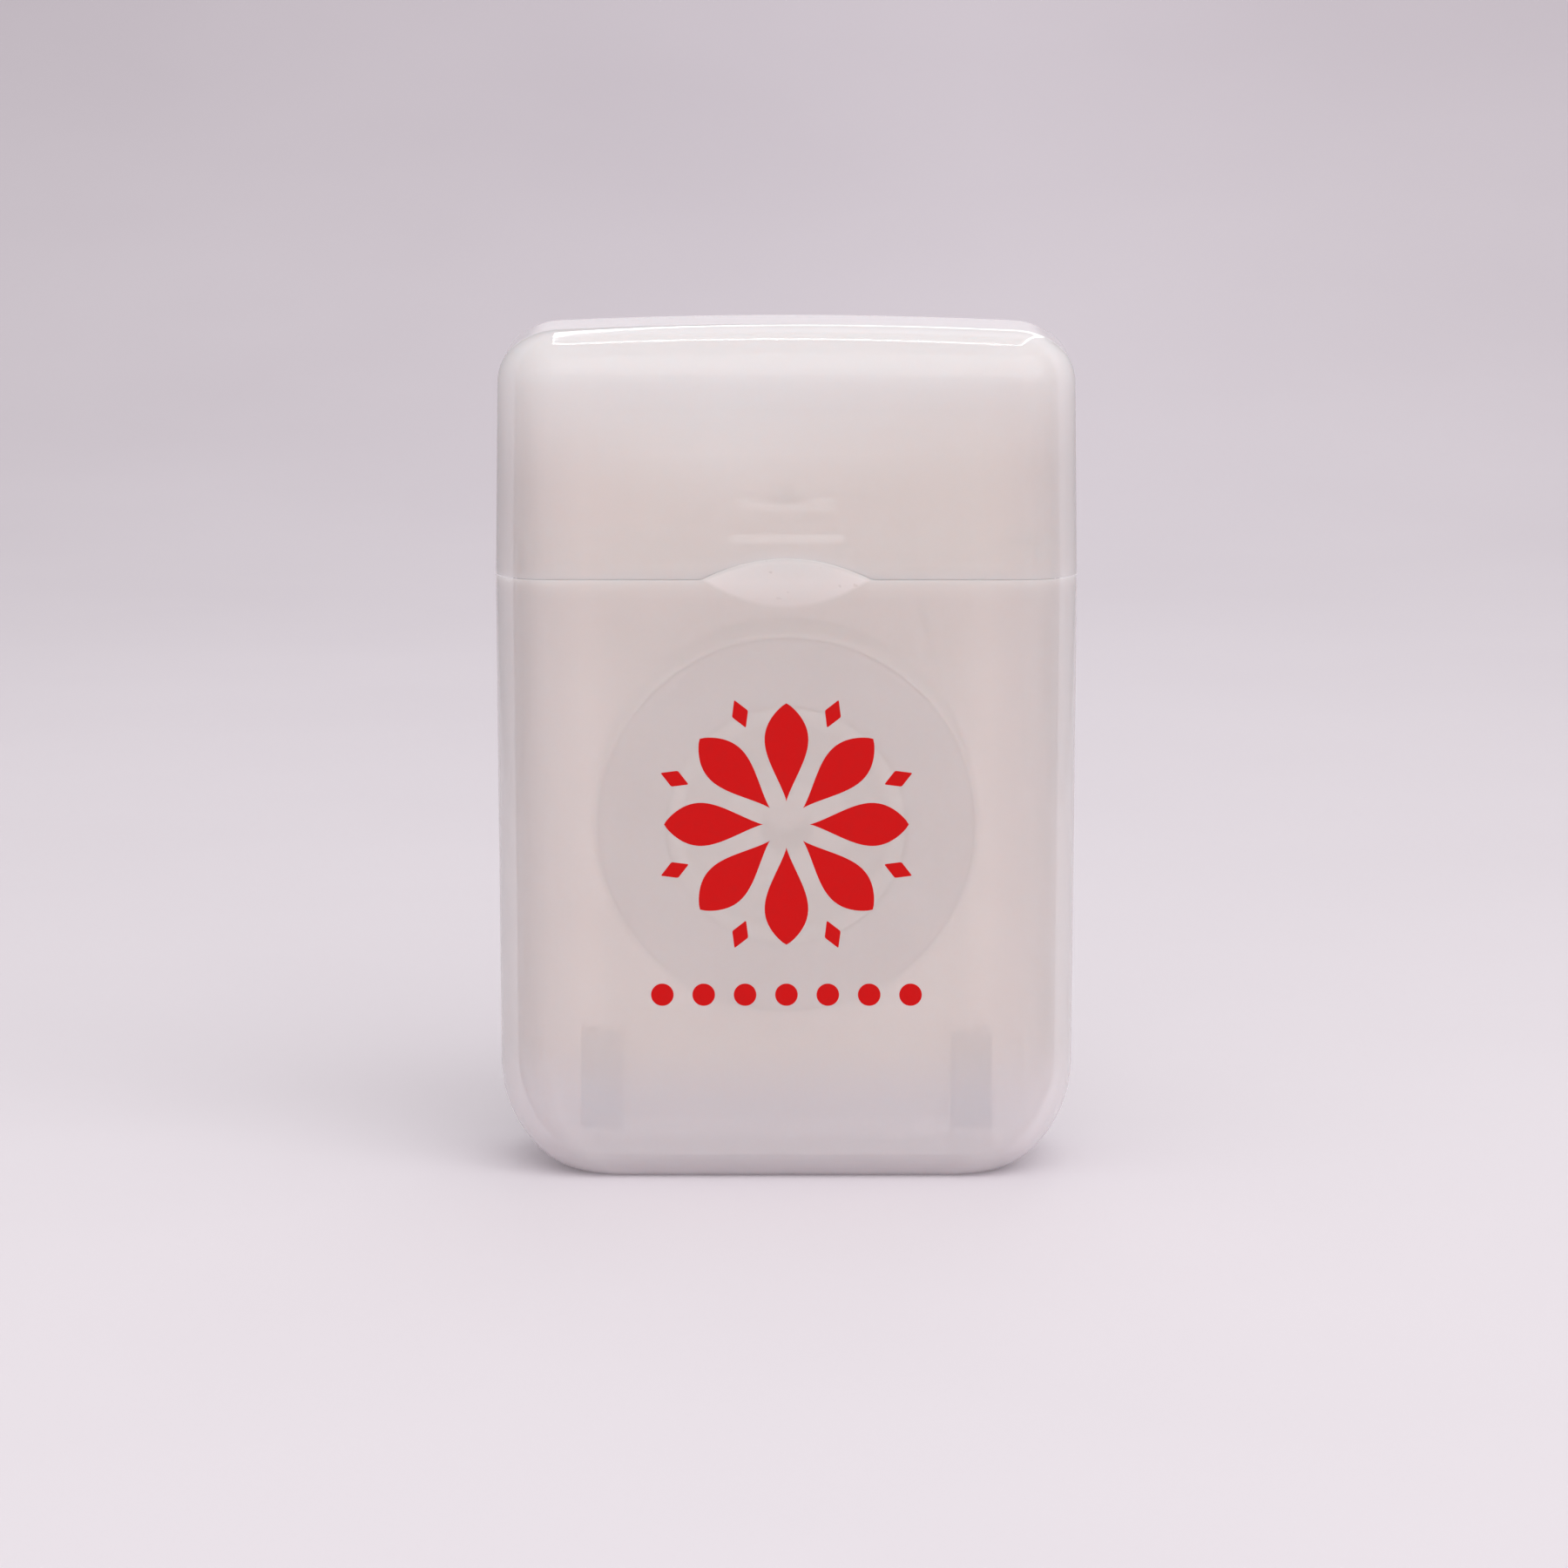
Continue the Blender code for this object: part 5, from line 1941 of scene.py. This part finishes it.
@dataclass
class FrontPrint:
    """A plain printed rosette of petals and lozenges over a row of dots, as a thin film of ink."""

    centre: float = 0.0250
    petals: int = 8
    inner: float = 0.0016
    outer: float = 0.0084
    half_width: float = 0.00150
    lozenge_at: float = 0.0083
    lozenge: tuple[float, float] = (0.00105, 0.00060)
    row_height: float = 0.0131
    row_step: float = 0.00285
    dots: int = 7
    dot_radius: float = 0.00078
    film: float = 0.00003
    petal_lean: float = 1.5
    petal_blunt: float = 0.8
    lozenge_corner: float = 0.00012
    outside: Outside = OUTSIDE

    def film_of(self, outline: Points) -> Points:
        """A film on the drafted front face: the outline just inside the face, and just proud.

        Args:
            outline: n x 2 points, across and up.

        Returns:
            4 x n x 3 points.
        """
        scale = np.array([0.5, 1.0, 1.0, 0.5])
        heart = outline.mean(axis=0)
        flat = heart + (outline - heart)[None] * scale[:, None, None]
        proud = np.array([self.film, self.film, -self.film, -self.film])[:, None]
        y = self.outside.front(flat[..., 1]) + proud
        return np.stack([flat[..., 0], y, flat[..., 1]], axis=2)

    def turned_outline(self, outline: Points, angle: float) -> Points:
        """An outline drawn out along the first axis, turned and moved to the rosette's centre."""
        c, s = math.cos(angle), math.sin(angle)
        return outline @ np.array([[c, s], [-s, c]]) + (0, self.centre)

    def petal(self) -> Points:
        """A drop: half width * sin(pi * t^lean)^blunt from the inner to the outer radius.

        Returns:
            n x 2 points, out along the first axis.
        """
        t = np.linspace(0, 1, 40)
        along = self.inner + (self.outer - self.inner) * t
        swell = np.maximum(np.sin(math.pi * t**self.petal_lean), 0)
        across = self.half_width * swell**self.petal_blunt
        one, other = (np.column_stack([along, side * across]) for side in (1, -1))
        return np.vstack([one, other[-2:0:-1]])

    def shape(self) -> Shape:
        """Every petal, lozenge and dot.

        Returns:
            The mesh of all the print.
        """
        made = Shape()
        long, wide = self.lozenge
        corners = np.array([(long, 0), (0, wide), (-long, 0), (0, -wide)]) + (self.lozenge_at, 0)
        diamond = rounded_outline(corners, self.lozenge_corner, 3)
        for k in range(self.petals):
            angle = 2 * math.pi * k / self.petals
            made.add(self.film_of(self.turned_outline(self.petal(), angle)))
            made.add(self.film_of(self.turned_outline(diamond, angle + math.pi / self.petals)))
        a = circle(40)
        for k in range(self.dots):
            middle = ((k - (self.dots - 1) / 2) * self.row_step, self.row_height)
            dot = self.dot_radius * np.column_stack([np.cos(a), np.sin(a)]) + middle
            made.add(self.film_of(dot))
        return made

    def build(self, look: Look) -> None:
        """Make the print, which lets light through to the plastic under it as a film does."""
        film = dress(self.shape(), "front_print", look, Body.CASE, None)
        film.visible_shadow = film.visible_diffuse = False


@dataclass(frozen=True)
class Lamp:
    """A soft area lamp.

    Attributes:
        name: the lamp's name.
        place: where it hangs.
        target: the point that it is aimed at.
        size: its width and depth.
        radiance: how bright it is all over.
        tint: its colour.
        glow: the strength at its far and at its near end, or None for an even lamp.
        ring: True for a lamp of which only the edge is alight, and only in reflections.
        ring_edge: where the ring begins, as u^4 + v^4 with u and v from -1 to 1 across the lamp.
        ring_stretch: the power that v is raised to first, so that the ring looks even in the
            round of the lid.
    """

    name: str
    place: Place
    target: Place
    size: Range
    radiance: float = 1.0
    tint: Colour = (1.0, 1.0, 1.0)
    glow: Range | None = None
    ring: bool = False
    ring_edge: Range = (0.48, 0.55)
    ring_stretch: float = 1.6

    def grade(self, data: bpy.types.Light) -> None:
        """Grade the lamp from its far to its near end, and black out all but the edge of a ring.

        Args:
            data: the lamp's data.
        """
        data.use_nodes = True
        graph = Graph(data.node_tree)
        place = graph.parts(graph.nodes.new("ShaderNodeNewGeometry").outputs["Parametric"])
        strength = graph.spread(place["Y"], (0, 1), self.glow)
        if self.ring:
            along = graph.maths("POWER", place["Y"], self.ring_stretch)
            sides = {"X": place["X"], "Y": along, "Z": 0.5}
            point = graph.node("ShaderNodeCombineXYZ", sides).outputs["Vector"]
            centred = graph.vector("MULTIPLY_ADD", point, (2, 2, 2), (-1, -1, -1))
            squared = graph.vector("MULTIPLY", centred, centred)
            fourth = graph.vector("DOT_PRODUCT", squared, squared, output="Value")
            inside = graph.maths("LESS_THAN", fourth, 1.0)
            strength = graph.times(strength, graph.spread(fourth, self.ring_edge), inside)
        graph.links.new(strength, graph.nodes["Emission"].inputs["Strength"])

    def hang(self) -> None:
        """Put the lamp in the scene, with a power of radiance * pi * area."""
        data = bpy.data.lights.new(self.name, "AREA")
        data.shape = "RECTANGLE" if self.ring else "ELLIPSE"
        data.size, data.size_y = self.size
        area = self.size[0] * self.size[1] * (1 if self.ring else math.pi / 4)
        data.energy = self.radiance * math.pi * area
        data.color = self.tint
        if self.glow:
            self.grade(data)
        made = bpy.data.objects.new(self.name, data)
        made.location = self.place
        x, y, z = np.array(self.target) - np.array(self.place)
        made.rotation_euler = (math.atan2(math.hypot(x, y), -z), 0, math.atan2(-x, y))
        made.visible_diffuse = made.visible_transmission = not self.ring
        bpy.context.scene.collection.objects.link(made)


@dataclass
class Studio:
    """A paper sweep, a lamp overhead, a ring for the lid's bright loop, a key lamp, the camera."""

    sweep_start: float = 0.34
    sweep_radius: float = 0.55
    sweep_turn: float = math.radians(45)
    sweep_front: float = -0.25
    sweep_steps: tuple[int, int, int] = (29, 40, 25)
    half_width: float = 0.17
    sky: Range = (0.26, 0.99)
    sky_span: Range = (0.0, 0.9)
    brightest: Place = (0.12, -0.45, 0.885)
    world_tint: Colour = (1.0, 0.975, 0.98)
    lamps: tuple[Lamp, ...] = (
        Lamp("overhead", (0.085, 0.516, 0.571), (0, 0, 0.055), (0.34, 1.06), glow=(0.25, 0.95)),
        Lamp(
            "ring", (0.0575, 0.515, 0.570), (0, 0, 0.055), (0.285, 1.06), glow=(0.45, 13), ring=True
        ),
        Lamp("key", (0.42, -0.85, 0.85), (0, 0, 0.03), (1.4, 1.4), 1.25, (1.0, 0.985, 0.99)),
    )
    lens: float = 145.9
    sensor: float = 36.0
    clip: Range = (0.01, 20.0)
    camera_place: Place = (0.0, -0.438, 0.096)
    camera_pitch: float = math.radians(9.01)
    centre_px: float = 902.8
    frame_px: float = 1800.0

    def sweep(self, look: Look) -> None:
        """The floor and the backdrop: flat, then an eighth of a round, as one grid.

        Args:
            look: the paper's material.
        """
        flat, round_, across = self.sweep_steps
        a = np.linspace(0, self.sweep_turn, round_)
        level = np.linspace(self.sweep_front, self.sweep_start, flat + 1)[:-1]
        floor = np.column_stack([level, np.zeros(flat)])
        curve = self.sweep_radius * np.column_stack([np.sin(a), 1 - np.cos(a)])
        curve += (self.sweep_start, 0)
        path = np.vstack([floor, curve])
        x = np.linspace(-self.half_width, self.half_width, across)
        grid = np.stack(np.broadcast_arrays(x[None], path[:, :1], path[:, 1:]), axis=2)
        rows, columns = grid.shape[:2]
        start = (np.arange(rows - 1)[:, None] * columns + np.arange(columns - 1)).ravel()
        faces = np.column_stack([start, start + 1, start + columns + 1, start + columns])
        mesh = bpy.data.meshes.new("paper_sweep")
        mesh.from_pydata(grid.reshape(-1, 3).tolist(), [], faces.tolist())
        mesh.shade_smooth()
        mesh.materials.append(look)
        made = bpy.data.objects.new("paper_sweep", mesh)
        bpy.context.scene.collection.objects.link(made)

    def light(self) -> None:
        """Hang the lamps and set the world, which is the open room's even light."""
        for lamp in self.lamps:
            lamp.hang()
        world = bpy.data.worlds.new("room")
        world.use_nodes = True
        graph = Graph(world.node_tree)
        shade = graph.nodes["Background"]
        shade.inputs["Color"].default_value = opaque(self.world_tint)
        direction = graph.nodes.new("ShaderNodeTexCoord").outputs["Generated"]
        towards = graph.vector("DOT_PRODUCT", direction, self.brightest, output="Value")
        graph.links.new(graph.spread(towards, self.sky_span, self.sky), shade.inputs["Strength"])
        bpy.context.scene.world = world

    def camera(self) -> None:
        """Stand the camera in front, looking down a little, as the photograph was taken."""
        data = bpy.data.cameras.new("camera")
        data.sensor_width, data.lens = self.sensor, self.lens
        data.shift_x = -(self.centre_px - self.frame_px / 2) / self.frame_px
        data.clip_start, data.clip_end = self.clip
        made = bpy.data.objects.new("camera", data)
        made.location = self.camera_place
        made.rotation_euler = (math.pi / 2 - self.camera_pitch, 0, 0)
        bpy.context.scene.collection.objects.link(made)
        bpy.context.scene.camera = made

    def build(self, look: Look) -> None:
        """Set the whole stage.

        Args:
            look: the paper's material.
        """
        self.camera()
        self.sweep(look)
        self.light()


def main() -> None:
    """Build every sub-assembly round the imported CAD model."""
    logging.basicConfig(level=logging.INFO, format="%(message)s")
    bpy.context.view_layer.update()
    bpy.context.scene.view_settings.view_transform = "Standard"

    Studio().build(PaperSweep().make())
    milky, white = MilkyPlastic().make(), WhitePlastic().make()
    thin_white = WhitePlastic("thin_white_plastic", cover=0.30).make()
    floss = WaxedFloss().make()
    plate, cutter = BackPlate(), Cutter()
    CaseShell().build(milky, ShadedThickPlastic().make(), plate)
    FlipLid().build(milky)
    LivingHinge().build(milky)
    plate.build(thin_white, white)
    Deck().build(white, cutter)
    cutter.build(StainlessSteel().make())
    Spool().build(white, ShadedWoundFloss().make(), floss)
    Lead().build(floss)
    FrontPrint().build(RedInk().make())


if __name__ == "__main__":
    main()
